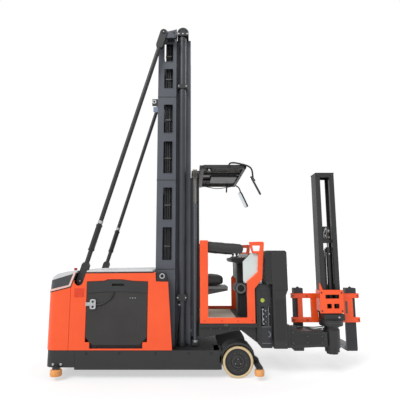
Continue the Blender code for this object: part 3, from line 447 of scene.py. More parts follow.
def turned(start: Point, end: Point, profile: Flat, sides: int = 32, closed: bool = False) -> Mesh:
    """Round body turned about the line between two points.

    Args:
        start: Point where the profile's along value is 0.
        end: Point that gives the direction.
        profile: Distance along the line and radius, one pair after another.
        sides: Faces round the body.
        closed: True where the profile is a loop and leaves a bore; a disc closes both ends otherwise.

    Returns:
        The closed mesh.
    """
    base = Vector(start)
    turn = (Vector(end) - base).normalized().to_track_quat("Z", "Y").to_matrix()
    angles = [math.tau * side / sides for side in range(sides)]
    bm = bmesh.new()
    loops = []
    for along, radius in profile:
        spots = [Vector((radius * math.cos(angle), radius * math.sin(angle), along)) for angle in angles]
        loops.append([bm.verts.new(base + turn @ spot) for spot in spots])
    return skin(bm, loops, closed, not closed)


def rod(start: Point, end: Point, radius: float, edge: float = CHAMFER, sides: int = 24) -> Mesh:
    """Round bar with a small chamfer at both ends.

    Args:
        start: Middle of one end.
        end: Middle of the other end.
        radius: Radius of the bar.
        edge: Width of the chamfers.
        sides: Faces round the bar.

    Returns:
        The closed mesh.
    """
    length = (Vector(end) - Vector(start)).length
    edge = min(edge, radius * 0.4, length * 0.3)
    profile = [(0.0, radius - edge), (edge, radius), (length - edge, radius), (length, radius - edge)]
    return turned(start, end, profile, sides)


def ring(start: Point, end: Point, inner: float, outer: float, sides: int = 48) -> Mesh:
    """Flat ring or short pipe about the line between two points.

    Args:
        start: Middle of one face.
        end: Middle of the other face.
        inner: Radius of the hole.
        outer: Radius of the rim.
        sides: Faces round the ring.

    Returns:
        The closed mesh.
    """
    length = (Vector(end) - Vector(start)).length
    edge = min(CHAMFER, (outer - inner) * 0.25, length * 0.25)
    half = [(edge, inner), (0.0, inner + edge), (0.0, outer - edge), (edge, outer)]
    profile = half + [(length - along, radius) for along, radius in reversed(half)]
    return turned(start, end, profile, sides, True)


def plate(axis: Axis, outline: Flat, limits: Range, edge: float = 0.002, holes: Iterable[Flat] = ()) -> Mesh:
    """Flat outline with holes, pushed along an axis, with rounded edges.

    Args:
        axis: Axis that the outline is pushed along.
        outline: Corners in (y, z), (x, z) or (x, y).
        limits: Both ends of the push.
        edge: Width of the rounding.
        holes: Outlines of the holes.

    Returns:
        The closed mesh.
    """
    turn = {Axis.X: (2, 0, 1), Axis.Y: (0, 2, 1), Axis.Z: (0, 1, 2)}[axis]
    loops = [list(outline), *[list(hole) for hole in holes]]
    bm = bmesh.new()
    low, high = (
        [bm.verts.new([(a, b, depth)[at] for at in turn]) for loop in loops for a, b in loop]
        for depth in (min(limits), max(limits))
    )
    for a, b, c in tessellate_polygon([[Vector((a, b, 0.0)) for a, b in loop] for loop in loops]):
        bm.faces.new((low[a], low[b], low[c]))
        bm.faces.new((high[a], high[c], high[b]))
    start = 0
    for loop in loops:
        end = start + len(loop)
        skin(bm, [low[start:end], high[start:end]])
        start = end
    bmesh.ops.recalc_face_normals(bm, faces=bm.faces)
    bmesh.ops.dissolve_limit(bm, angle_limit=math.radians(0.5), verts=bm.verts, edges=bm.edges)
    return bevelled(bm, edge)


def smooth_path(points: Sequence[Point], steps: int) -> list[Vector]:
    """Points of a smooth curve through some points.

    Args:
        points: Points that the curve passes through.
        steps: New points for each stretch.

    Returns:
        The curve's points in order.
    """
    knots = [Vector(p) for p in points]
    knots = [knots[0] * 2 - knots[1], *knots, knots[-1] * 2 - knots[-2]]
    path = []
    for a, b, c, d in zip(knots, knots[1:], knots[2:], knots[3:]):
        for step in range(steps):
            t = step / steps
            path.append(
                ((-t + 2 * t * t - t ** 3) * a + (2 - 5 * t * t + 3 * t ** 3) * b
                 + (t + 4 * t * t - 3 * t ** 3) * c + (t ** 3 - t * t) * d) / 2
            )
    return [*path, knots[-2]]


def tube(
    points: Sequence[Point], radius: float, sides: int = 12, steps: int = 8, closed: bool = False
) -> Mesh:
    """Bent round bar, hose or cable through some points.

    Args:
        points: Points that the middle passes through.
        radius: Radius of the bar.
        sides: Faces round it.
        steps: Curve points for each stretch; 1 keeps straight stretches.
        closed: True for a ring.

    Returns:
        The closed mesh.
    """
    path = smooth_path(points, steps) if steps > 1 else [Vector(p) for p in points]
    count = len(path)
    bm = bmesh.new()
    turns = [math.tau * side / sides for side in range(sides)]
    normal = None
    loops = []
    for at, here in enumerate(path):
        before = path[at - 1] if at or closed else here
        after = path[(at + 1) % count] if at + 1 < count or closed else here
        along = (after - before).normalized()
        if normal is None:
            normal = along.orthogonal().normalized()
        normal = (normal - along * normal.dot(along)).normalized()
        other = along.cross(normal)
        spots = [here + (normal * math.cos(turn) + other * math.sin(turn)) * radius for turn in turns]
        loops.append([bm.verts.new(spot) for spot in spots])
    return skin(bm, loops, closed, not closed)


def band(path: Sequence[Point], outward: Sequence[Point], width: float, thick: float) -> Mesh:
    """Flat strip laid along a path on a surface.

    Args:
        path: Points on the surface.
        outward: Direction away from the surface at each point.
        width: Width across the path.
        thick: Thickness away from the surface.

    Returns:
        The closed mesh.
    """
    points = [Vector(p) for p in path]
    bm = bmesh.new()
    loops = []
    for here, before, after, out in zip(points, [points[0], *points], [*points[1:], points[-1]], outward):
        rise = Vector(out).normalized()
        side = (after - before).normalized().cross(rise).normalized() * (width / 2)
        corners = (here - side, here + side, here + side + rise * thick, here - side + rise * thick)
        loops.append([bm.verts.new(corner) for corner in corners])
    return skin(bm, loops, caps=True)


def arc(centre: Pair, radius: float, start: float, end: float, steps: int = 8) -> Flat:
    """Points on a circle from one angle in degrees to another.

    Args:
        centre: Middle of the circle.
        radius: Radius of the circle.
        start: First angle.
        end: Last angle.
        steps: Stretches between the points.

    Returns:
        The points.
    """
    angles = [math.radians(start + (end - start) * step / steps) for step in range(steps + 1)]
    return [(centre[0] + radius * math.cos(a), centre[1] + radius * math.sin(a)) for a in angles]


def circle(centre: Pair, radius: float, sides: int) -> Flat:
    """Outline of a round hole with that many sides."""
    return arc(centre, radius, 0, 360 - 360 / sides, sides - 1)


def rounded(a: Range, b: Range, radius: float, steps: int = 4) -> Flat:
    """Rectangle with round corners.

    Args:
        a: Limits of the first coordinate.
        b: Limits of the second coordinate.
        radius: Radius of the corners.
        steps: Stretches in each corner.

    Returns:
        The outline.
    """
    low_a, high_a = min(a) + radius, max(a) - radius
    low_b, high_b = min(b) + radius, max(b) - radius
    corners = ((high_a, low_b), (high_a, high_b), (low_a, high_b), (low_a, low_b))
    outline = []
    for at, corner in enumerate(corners):
        outline += arc(corner, radius, 90 * at - 90, 90 * at, steps)
    return outline


def rounded_plan(rear: float, front: float, half: float, radius: float) -> Flat:
    """Plan of the chassis with rounded tail corners.

    Args:
        rear: x of the tail.
        front: x of the straight front end.
        half: Half the width.
        radius: Radius of the tail corners.

    Returns:
        The outline in (x, y).
    """
    outline = [(front, -half), (front, half)]
    outline += arc((rear + radius, half - radius), radius, 90, 180, 10)
    outline += arc((rear + radius, -half + radius), radius, 180, 270, 10)
    return outline


def clipped(shape: Mesh, outline: Flat) -> Mesh:
    """Keep the part of an upright shape inside a convex plan.

    Args:
        shape: Closed mesh that is used up.
        outline: Convex plan in (x, y).

    Returns:
        The same mesh, cut and closed.
    """
    middle = sum((Vector((x, y, 0.0)) for x, y in outline), Vector()) / len(outline)
    for (ax, ay), (bx, by) in zip(outline, [*outline[1:], outline[0]]):
        normal = Vector((by - ay, ax - bx, 0.0)).normalized()
        if normal.dot(Vector((ax, ay, 0.0)) - middle) < 0:
            normal.negate()
        everything = [*shape.verts, *shape.edges, *shape.faces]
        cut = bmesh.ops.bisect_plane(
            shape, geom=everything, plane_co=(ax, ay, 0.0), plane_no=normal, clear_outer=True, dist=0.00001
        )
        edges = [part for part in cut["geom_cut"] if isinstance(part, bmesh.types.BMEdge)]
        if edges:
            bmesh.ops.contextual_create(shape, geom=edges)
    return shape


def across(side: int, limits: Range) -> Range:
    """Limits of y on one side of the truck."""
    return side * limits[0], side * limits[1]


def ear_limits(side: int) -> Range:
    """Limits of y of an ear that holds a brace."""
    return side * BRACE_Y - EAR_HALF, side * BRACE_Y + EAR_HALF


def body_of(node: str) -> str:
    """Body that a CAD node belongs to."""
    return frame["nodes"][node]["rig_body"]


def applied(made: Thing) -> None:
    """Turn what an object's modifiers make of it into its plain mesh.

    Args:
        made: The object.
    """
    bpy.context.view_layer.update()
    mesh = bpy.data.meshes.new_from_object(made.evaluated_get(bpy.context.evaluated_depsgraph_get()))
    made.modifiers.clear()
    made.data = mesh
    mesh.name = made.name


def new_thing(name: str, data: bpy.types.ID) -> Thing:
    """Put an object in the scene.

    Args:
        name: Name of the object.
        data: Its mesh, lamp or camera.

    Returns:
        The object.
    """
    made = bpy.data.objects.new(name, data)
    bpy.context.scene.collection.objects.link(made)
    return made


def settle(made: Thing, node: str, replaces: bool, angle: float = SHARP_ANGLE) -> Thing:
    """Shade an object and let it ride.

    Args:
        made: Object at the origin.
        node: CAD node whose body it rides on.
        replaces: True where it stands for the node.
        angle: Angle in degrees past which an edge stays sharp.

    Returns:
        The same object.
    """
    made.data.shade_smooth()
    made.data.set_sharp_from_angle(angle=math.radians(angle))
    made.modifiers.new("flat_faces", "WEIGHTED_NORMAL").keep_sharp = True
    applied(made)
    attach(made, body_of(node))
    if replaces:
        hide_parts(node)
    log.info("piece %s on %s, %d faces", made.name, body_of(node), len(made.data.polygons))
    return made


class Piece:
    """Mesh that gathers shapes of one or more finishes and then rides on a body."""

    def __init__(self, name: str, *finishes: Material) -> None:
        """Start an empty piece.

        Args:
            name: Name of the finished object.
            finishes: Its materials, in the order that add() counts them.
        """
        self.name = name
        self.finishes = finishes
        self._bm = bmesh.new()

    def add(self, shape: Mesh, finish: int = 0) -> "Piece":
        """Take in a shape.

        Args:
            shape: Mesh that is used up.
            finish: Which of the piece's materials it has.

        Returns:
            The piece itself.
        """
        bmesh.ops.recalc_face_normals(shape, faces=shape.faces)
        for face in shape.faces:
            face.material_index = finish
        joined(self._bm, shape)
        return self

    def done(self, node: str, replaces: bool = True, angle: float = SHARP_ANGLE) -> Thing:
        """Finish the piece and let it ride.

        Args:
            node: CAD node whose body it takes.
            replaces: True where it stands for the node.
            angle: Angle in degrees past which an edge stays sharp.

        Returns:
            The finished object.
        """
        mesh = bpy.data.meshes.new(self.name)
        self._bm.to_mesh(mesh)
        self._bm.free()
        for finish in self.finishes:
            mesh.materials.append(finish)
        return settle(new_thing(self.name, mesh), node, replaces, angle)


@dataclass
class Studio:
    """Camera, lamps, floor and background."""

    camera_place: tuple[float, float, float] = (-0.215, -5.55, 1.445)
    camera_pitch: float = 98.66
    lens: float = 34.29
    sensor: float = 36.0
    frame_shift: float = 0.02
    key_strength: float = 1.9
    fill_strength: float = 0.8
    lamp_spread: float = 28.0
    ambient: float = 0.62
    floor_half: float = 60.0
    floor_grey: float = 0.50
    floor_glow: float = 0.55
    floor_bounce: float = 0.62

    def build(self) -> None:
        """Make the whole studio."""
        scene = bpy.context.scene
        scene.view_settings.view_transform = "Standard"
        camera = bpy.data.cameras.new("camera")
        camera.lens = self.lens
        camera.sensor_width = self.sensor
        camera.shift_x = self.frame_shift
        viewer = new_thing("camera", camera)
        viewer.location = self.camera_place
        viewer.rotation_euler = (math.radians(self.camera_pitch), 0.0, 0.0)
        scene.camera = viewer
        self._lamp("key", self.key_strength, (-0.42, -0.62, 0.66))
        self._lamp("fill", self.fill_strength, (0.62, 0.55, 0.56))
        self._world()
        self._floor()

    def _lamp(self, name: str, strength: float, towards: Point) -> None:
        """Make one soft sun.

        Args:
            name: Name of the lamp.
            strength: Its strength.
            towards: Direction from the truck to the lamp.
        """
        lamp = bpy.data.lights.new(name, "SUN")
        lamp.energy = strength
        lamp.angle = math.radians(self.lamp_spread)
        new_thing(name, lamp).rotation_euler = Vector(towards).to_track_quat("Z", "Y").to_euler()

    @staticmethod
    def _seen_directly(tree: Tree) -> Socket:
        """Value that is 1 for camera, glossy and transmitted rays.

        Args:
            tree: Node tree that gets the nodes.

        Returns:
            The socket of the value.
        """
        path = add_node(tree, "ShaderNodeLightPath")
        total = path.outputs["Is Camera Ray"]
        for name in ("Is Glossy Ray", "Is Transmission Ray"):
            most = add_node(tree, "ShaderNodeMath", {"operation": "MAXIMUM"})
            tree.links.new(total, most.inputs[0])
            tree.links.new(path.outputs[name], most.inputs[1])
            total = most.outputs["Value"]
        return total

    def _world(self) -> None:
        """Make the even light and the white background."""
        world = bpy.data.worlds.new("studio")
        bpy.context.scene.world = world
        world.use_nodes = True
        tree = world.node_tree
        background = tree.nodes["Background"]
        set_inputs(background, Color=(1.0, 1.0, 1.0, 1.0))
        level = add_node(tree, "ShaderNodeMapRange", To_Min=self.ambient, To_Max=1.0)
        tree.links.new(self._seen_directly(tree), level.inputs["Value"])
        tree.links.new(level.outputs["Result"], background.inputs["Strength"])

    def _floor(self) -> None:
        """Make the pale floor, which keeps the truck's shadow."""
        half = self.floor_half
        mesh = bpy.data.meshes.new("floor")
        corners = [(-half, -half, 0), (half, -half, 0), (half, half, 0), (-half, half, 0)]
        mesh.from_pydata(corners, [], [(0, 1, 2, 3)])
        material = bpy.data.materials.new("floor")
        material.use_nodes = True
        tree = material.node_tree
        link = tree.links.new
        tree.nodes.clear()
        diffuse = add_node(tree, "ShaderNodeBsdfDiffuse", Color=(*[self.floor_grey] * 3, 1.0))
        glow = add_node(tree, "ShaderNodeEmission", Strength=self.floor_glow)
        both = add_node(tree, "ShaderNodeAddShader")
        link(diffuse.outputs["BSDF"], both.inputs[0])
        link(glow.outputs["Emission"], both.inputs[1])
        plain = add_node(tree, "ShaderNodeBsdfDiffuse", Color=(*[self.floor_bounce] * 3, 1.0))
        choice = add_node(tree, "ShaderNodeMixShader")
        link(self._seen_directly(tree), choice.inputs["Fac"])
        link(plain.outputs["BSDF"], choice.inputs[1])
        link(both.outputs["Shader"], choice.inputs[2])
        link(choice.outputs["Shader"], add_node(tree, "ShaderNodeOutputMaterial").inputs["Surface"])
        mesh.materials.append(material)
        new_thing("floor", mesh)


class Repeater:
    """Copies a small shape to many places with a Geometry Nodes tree."""

    SEED = 7

    def __init__(self) -> None:
        """Build the tree and the shapes that it copies."""
        self._tree = bpy.data.node_groups.new("repeater", "GeometryNodeTree")
        self._sockets = self._build_tree()
        shapes = {
            "bolt": self._bolt(),
            "rivet": turned((0, 0, 0), (0, 0, 1), [(0.0, 0.5), (0.10, 0.46), (0.20, 0.30), (0.24, 0.10)], 10),
            "socket_screw": turned(
                (0, 0, 0), (0, 0, 1), [(0.0, 0.5), (0.34, 0.5), (0.40, 0.44), (0.40, 0.26), (0.22, 0.24)], 12
            ),
            "chain_link": self._chain_link(),
            "rib": box((-0.5, 0.5), (-0.5, 0.5), (0.0, 1.0), 0.12, 1),
        }
        self._shapes = {name: self._kept(name, bm) for name, bm in shapes.items()}

    def _build_tree(self) -> dict[str, str]:
        """Make the node tree.

        Returns:
            The identifier of each input by its name.
        """
        tree = self._tree
        face = tree.interface
        face.new_socket("Geometry", in_out="INPUT", socket_type="NodeSocketGeometry")
        kinds = {"Shape": "Object", "Size": "Vector", "Spin": "Float", "Seed": "Int", "Finish": "Material"}
        sockets = {
            name: face.new_socket(name, in_out="INPUT", socket_type=f"NodeSocket{kind}").identifier
            for name, kind in kinds.items()
        }
        face.new_socket("Geometry", in_out="OUTPUT", socket_type="NodeSocketGeometry")
        given = add_node(tree, "NodeGroupInput").outputs
        result = add_node(tree, "NodeGroupOutput").inputs
        info = add_node(tree, "GeometryNodeObjectInfo", As_Instance=True)
        aim = add_node(tree, "GeometryNodeInputNamedAttribute", {"data_type": "FLOAT_VECTOR"}, Name="turn")
        copies = add_node(tree, "GeometryNodeInstanceOnPoints")
        chance = add_node(tree, "FunctionNodeRandomValue", {"data_type": "FLOAT"})
        about = add_node(tree, "ShaderNodeCombineXYZ")
        spun = add_node(tree, "GeometryNodeRotateInstances")
        real = add_node(tree, "GeometryNodeRealizeInstances")
        coat = add_node(tree, "GeometryNodeSetMaterial")
        for source, target in (
            (given["Shape"], info.inputs["Object"]),
            (given["Geometry"], copies.inputs["Points"]),
            (info.outputs["Geometry"], copies.inputs["Instance"]),
            (aim.outputs["Attribute"], copies.inputs["Rotation"]),
            (given["Size"], copies.inputs["Scale"]),
            (given["Spin"], chance.inputs[3]),
            (given["Seed"], chance.inputs["Seed"]),
            (chance.outputs[1], about.inputs["Z"]),
            (copies.outputs["Instances"], spun.inputs["Instances"]),
            (about.outputs["Vector"], spun.inputs["Rotation"]),
            (spun.outputs["Instances"], real.inputs["Geometry"]),
            (real.outputs["Geometry"], coat.inputs["Geometry"]),
            (given["Finish"], coat.inputs["Material"]),
            (coat.outputs["Geometry"], result["Geometry"]),
        ):
            tree.links.new(source, target)
        return sockets

    @staticmethod
    def _kept(name: str, bm: Mesh) -> Thing:
        """Keep a shape in an object that is never shown.

        Args:
            name: Name of the object.
            bm: Mesh that is used up.

        Returns:
            The object.
        """
        bmesh.ops.recalc_face_normals(bm, faces=bm.faces)
        mesh = bpy.data.meshes.new(name)
        bm.to_mesh(mesh)
        bm.free()
        return bpy.data.objects.new(name, mesh)

    @staticmethod
    def _bolt() -> Mesh:
        """Hexagon head on a washer, one unit across and standing on z = 0."""
        head = turned((0, 0, 0.08), (0, 0, 1), [(0.0, 0.46), (0.28, 0.46), (0.33, 0.40)], 6)
        return joined(turned((0, 0, 0), (0, 0, 1), [(0.0, 0.56), (0.09, 0.56)], 12), head)

    @staticmethod
    def _chain_link() -> Mesh:
        """Stack of leaf chain plates; the chain runs along X and its pins along Y.

        Returns:
            The mesh, a little over one unit long.
        """
        bm = bmesh.new()
        for y in (-0.40, 0.0, 0.40):
            joined(bm, plate(Axis.Y, rounded((-0.62, 0.62), (-0.5, 0.5), 0.42, 2), (y - 0.11, y + 0.11), 0.0))
        return bm

    def place(
        self,
        name: str,
        shape: str,
        spots: Sequence[Spot],
        finish: Material,
        node: str,
        size: float | Point,
        spin: float,
        replaces: bool,
    ) -> None:
        """Copy one of the shapes to every spot and let the copies ride.

        Args:
            name: Name of the finished object.
            shape: Name of the shape.
            spots: Place and turn of each copy.
            finish: Material of the copies.
            node: CAD node whose body they take.
            size: Size of a copy, the same or apart for its three axes.
            spin: Most that a copy is turned about its own axis, in radians.
            replaces: True where they stand for the node.
        """
        mesh = bpy.data.meshes.new(name)
        mesh.from_pydata([tuple(place) for place, _ in spots], [], [])
        turn = mesh.attributes.new("turn", "FLOAT_VECTOR", "POINT")
        turn.data.foreach_set("vector", [angle for _, euler in spots for angle in euler])
        made = new_thing(name, mesh)
        modifier = made.modifiers.new("copies", "NODES")
        modifier.node_group = self._tree
        scale = (size, size, size) if isinstance(size, float) else tuple(size)
        kept = self._shapes[shape]
        given = {"Shape": kept, "Size": scale, "Spin": spin, "Seed": self.SEED, "Finish": finish}
        for socket, value in given.items():
            modifier[self._sockets[socket]] = value
        applied(made)
        settle(made, node, replaces)


def facing(aim: Point, *places: Point) -> list[Spot]:
    """Spots that all stand along one direction.

    Args:
        aim: Direction of each copy's own Z.
        places: Where the copies stand.

    Returns:
        The spots for a Repeater.
    """
    turn = Vector(aim).to_track_quat("Z", "Y").to_euler()
    return [(place, turn) for place in places]


def circle_spots(centre: Point, aim: Point, radius: float, count: int, first: float = 0.0) -> list[Spot]:
    """Spots on a circle, each standing along the circle's axis.

    Args:
        centre: Middle of the circle.
        aim: Direction of the axis.
        radius: Radius of the circle.
        count: Number of spots.
        first: Angle of the first one in degrees.

    Returns:
        The spots for a Repeater.
    """
    turn = Vector(aim).normalized().to_track_quat("Z", "Y")
    angles = [math.radians(first) + math.tau * at / count for at in range(count)]
    steps = [Vector((radius * math.cos(angle), radius * math.sin(angle), 0.0)) for angle in angles]
    return facing(aim, *[Vector(centre) + turn @ step for step in steps])


@dataclass
class Builder:
    """What every sub-assembly is given."""

    finishes: Finishes
    repeater: Repeater

    def piece(self, name: str, *finishes: str) -> Piece:
        """Start a piece with finishes given by name.

        Args:
            name: Name of the finished object.
            finishes: Names of its finishes in order.

        Returns:
            The empty piece.
        """
        return Piece(name, *[self.finishes[finish] for finish in finishes])

    def copies(
        self,
        name: str,
        shape: str,
        spots: Sequence[Spot],
        finish: str,
        node: str,
        size: float | Point,
        spin: float = SPIN,
        replaces: bool = False,
    ) -> None:
        """Have the repeater place copies in a finish given by name; the rest is as in its place()."""
        self.repeater.place(name, shape, spots, self.finishes[finish], node, size, spin, replaces)


@dataclass
class Chassis(Builder):
    """Slab with its wheel arms, the flanks, the tail, the hood and the battery doors."""

    half: float = 0.70
    rear: float = -2.008
    corner: float = 0.11
    step: float = -1.640
    slab_bottom: float = 0.11
    tail_bottom: float = 0.137
    slab_top: float = 0.335
    panel: float = 0.03
    seam: float = -1.722
    belt: tuple[Pair, ...] = ((-2.000, 1.016), (-1.722, 1.085), (-1.657, 1.262))
    shoulder: tuple[Pair, ...] = ((-0.671, 1.271), (-0.664, 1.156), (-0.513, 1.152), (-0.458, SILL))
    hump: tuple[Pair, ...] = ((-1.315, 1.160), (-1.263, 1.178), (-1.089, 1.178), (-0.957, 1.160))
    bay: Range = (-1.524, -0.764)
    bay_z: Range = (0.353, 1.156)
    wheel: Pair = LOAD_WHEEL
    fender: Range = (0.208, 0.235)
    drive_well: Pair = (-1.77, 0.197)
    strut_eye: Pair = BRACE_LOW
    strut_lean: float = 0.2986
    recess: float = 0.056
    spin: float = 0.6
    louvre_x: Range = (-1.678, -1.556)
    louvre_z: float = 0.967
    louvre_pitch: float = 0.0125
    louvre_count: int = 9
    lifting_eye: Pair = (-0.589, 1.222)

    def build(self) -> None:
        """Make every piece of the chassis."""
        self._slab()
        self._flanks()
        self._tail()
        self._hood()
        self._trim()
        self._doors()
        self._plug()

    def _slab(self) -> None:
        """Steel slab, wheel arms, fenders and roller brackets."""
        piece = self.piece("dressed_slab", "black_paint")
        outer = self.half - 0.004
        x, radius = self.drive_well
        tongue = [
            (self.step, outer), (self.step, 0.22), (-1.56, 0.22), (-1.56, -0.22), (self.step, -0.22),
            (self.step, -outer),
        ]
        well = circle((x, 0.0), radius, 48)
        tail = rounded_plan(self.rear + 0.012, self.step, outer, self.corner - 0.012)[2:]
        piece.add(plate(Axis.Z, [*tail, *reversed(tongue)], (self.tail_bottom, self.slab_top), 0.003, [well]))
        piece.add(
            plate(Axis.Z, [(0.12, -outer), (0.12, outer), *tongue], (self.slab_bottom, self.slab_top), 0.003)
        )
        rise = [(-1.970, -0.26), (-1.56, -0.26), (-1.56, 0.26), (-1.970, 0.26)]
        piece.add(plate(Axis.Z, rise, (self.slab_top - 0.001, 0.402), 0.002, [well]))
        piece.add(plate(Axis.Z, rise, (0.400, 0.430), 0.002, [circle((x, 0.0), 0.0646, 48)]))
        piece.add(box((-1.615, -1.565), (-0.64, 0.64), (0.33, 1.05)))
        x, z = self.wheel
        for _, way in SIDES:
            wall = [(0.05, self.slab_bottom), (0.60, 0.137), (0.635, 0.150), (0.625, 0.190), (0.575, 0.225)]
            wall += arc((x, z), self.fender[1], 14, 180, 18) + [(0.05, self.slab_top)]
            piece.add(plate(Axis.Y, wall, across(way, (0.42, 0.49)), 0.003))
            roof = arc((x, z), self.fender[1], 35, 180, 22) + arc((x, z), self.fender[0], 180, 35, 22)
            piece.add(plate(Axis.Y, roof, across(way, (0.485, 0.69)), 0.003))
            piece.add(
                box((0.05, x - 0.20), across(way, (0.42, 0.69)), (self.slab_bottom, self.slab_top), 0.003)
            )
            piece.add(rod((x, way * 0.45, z), (x, way * 0.678, z), 0.030))
            for _, place, y, _, low, high in GUIDES:
                piece.add(box(
                    (place - 0.040, place + 0.040), across(way, (0.44, y + 0.03)),
                    (high + 0.006, high + 0.028), 0.003,
                ))
                piece.add(rod((place, way * y, low - 0.008), (place, way * y, high + 0.01), 0.013))
                piece.add(rod((place, way * y, high + 0.026), (place, way * y, high + 0.040), 0.020, sides=6))
            ear = [(-1.565, 0.95), (-1.585, 1.15), *arc(BRACE_LOW, EAR_RADIUS, 10, 215, 10), (-1.615, 0.95)]
            piece.add(plate(Axis.Y, ear, ear_limits(way)))
        piece.done("base_frame")
        for way in (-1, 1):
            aimed = facing((0, way, 0), *[(x, way * 0.70, 0.175) for x in (-1.895, -1.80)])
            self.copies(f"tail_bolts_{way + 1}", "bolt", aimed, "zinc", "base_frame", 0.028, self.spin)
            row = [(x, way * 0.6955, 0.30) for x in (-1.50, -1.10, -0.66, -0.26, 0.02)]
            self.copies(
                f"slab_bolts_{way + 1}", "socket_screw", facing((0, way, 0), *row), "soft_black",
                "base_frame", 0.026, self.spin,
            )

    def _bay(self) -> Flat:
        """Opening of the battery bay, with a block left in both lower corners.

        Returns:
            The outline in (x, z).
        """
        left, right = self.bay
        low, top = self.bay_z
        notch, step = 0.056, 0.429
        return [
            (left, top), (left, step), (left + notch, step), (left + notch, low), (right - notch, low),
            (right - notch, step), (right, step), (right, top),
            *[(x, z + 0.004) for x, z in reversed(self.hump)],
        ]

    def _recess_edge(self, way: int, z: float) -> Pair:
        """Point on the edge of the recess round a strut, behind (-1) or in front of it (1)."""
        x, low = self.strut_eye
        return x + way * self.recess * 0.958 + (z - low + way * self.recess * 0.286) * self.strut_lean, z

    def _flanks(self) -> None:
        """Orange side panels with the bay cut out."""
        for name, way in SIDES:
            outline = [(self.seam, SILL), self.belt[1], (-1.6905, 1.171)]
            outline += arc(self.strut_eye, self.recess, 170, 343, 14)
            outline += [self._recess_edge(1, 1.2645), *self.shoulder]
            piece = self.piece(f"flank_{name}", "orange_paint")
            piece.add(
                plate(Axis.Y, outline, across(way, (self.half - self.panel, self.half)), 0.005, [self._bay()])
            )
            piece.done(f"side_panel_{name}")
            # The louvre bars take a darker copy of the orange paint, which paints the shade of the louvre
            # slots.
            louvres = self.piece(f"louvres_{name}", "orange_deep")
            for at in range(self.louvre_count):
                z = self.louvre_z + at * self.louvre_pitch
                louvres.add(box(self.louvre_x, across(way, (0.699, 0.7045)), (z, z + 0.0065), CHAMFER, 1))
            louvres.done(f"side_panel_{name}", replaces=False)

    def _tail(self) -> None:
        """Orange tail and the smoked window over it."""
        plan = rounded_plan(self.rear, self.seam, self.half, self.corner)
        tail = [
            (self.rear, SILL), (self.rear, self.belt[0][1] - 0.002), (self.seam - 0.003, self.belt[1][1]),
            (self.seam - 0.003, SILL),
        ]
        cover = clipped(plate(Axis.Y, tail, (-self.half, self.half), 0.0), plan)
        self.piece("tail", "orange_paint").add(bevelled(cover, 0.003, 2, 40.0)).done("tail_cover")
        glass = [(-1.9995, 1.0165), (-1.978, 1.165), (-1.6575, 1.262), (self.seam - 0.0006, 1.0855)]
        shell = clipped(plate(Axis.Y, glass, (-0.696, 0.696), 0.0), rounded_plan(
            self.rear + 0.002, -1.60, 0.696, self.corner
        ))
        self.piece("window", "smoked_window").add(bevelled(shell, 0.003, 2, 40.0)).done("rear_window")

    def _hood(self) -> None:
        """Pale hood, cut clear of the struts."""
        crown = [
            (-1.978, 1.1655), (-1.962, 1.205), (-1.895, 1.252), (-1.770, 1.282), (-1.490, 1.294),
            (-0.760, 1.301), (-0.715, 1.293), (-0.700, 1.2715), (-1.657, 1.2625),
        ]
        piece = self.piece("dressed_hood", "hood_plastic", "soft_black")
        plan = rounded_plan(self.rear + 0.004, -0.60, 0.698, self.corner)
        piece.add(bevelled(clipped(plate(Axis.Y, crown, (-0.564, 0.564), 0.0), plan), 0.010, 3, 30.0))
        rear = [*crown[:4], self._recess_edge(-1, 1.2875), self._recess_edge(-1, 1.2625)]
        front = [self._recess_edge(1, 1.2925), *crown[5:8], self._recess_edge(1, 1.2635)]
        for _, way in SIDES:
            for part in (rear, front):
                strip = clipped(plate(Axis.Y, part, across(way, (0.560, 0.697)), 0.0), plan)
                piece.add(bevelled(strip, 0.010, 3, 30.0))
            line = [
                self._recess_edge(1, 1.2640), (-0.700, 1.2712), (-0.700, 1.2775), self._recess_edge(1, 1.2705)
            ]
            piece.add(plate(Axis.Y, line, across(way, (0.60, 0.6990)), 0.0), 1)
        for _, way in SIDES:
            block = [(-0.664, 1.157), (-0.522, 1.153), (-0.530, 1.240), (-0.560, 1.262), (-0.655, 1.268)]
            piece.add(plate(Axis.Y, block, across(way, (0.60, 0.692)), 0.004), 1)
        piece.done("hood")
        eye = self.piece("lifting_eyes", "zinc", "void_black")
        x, z = self.lifting_eye
        for _, way in SIDES:
            eye.add(ring((x, way * 0.690, z), (x, way * 0.699, z), 0.021, 0.034))
            # A black disc at the back of each eye's bore paints the shade inside the hole.
            eye.add(rod((x, way * 0.690, z), (x, way * 0.693, z), 0.022), 1)
        eye.done("base_frame", replaces=False)
        knob = self.piece("hood_knob", "signal_red", "soft_black")
        knob.add(turned(
            (-1.777, -0.35, 1.276), (-1.777, -0.35, 2.0),
            [(0.0, 0.018), (0.012, 0.016), (0.016, 0.024), (0.034, 0.022), (0.040, 0.010)],
        ))
        knob.done("hood", replaces=False)

    def _trim(self) -> None:
        """Pale stripe and dark line along the belt, round the tail."""
        back, radius = self.rear, self.corner
        slope = (self.belt[1][1] - self.belt[0][1]) / (self.belt[1][0] - self.belt[0][0])

        def level(x: float) -> float:
            """Height of the belt line at x."""
            return self.belt[0][1] + slope * (x - self.belt[0][0])

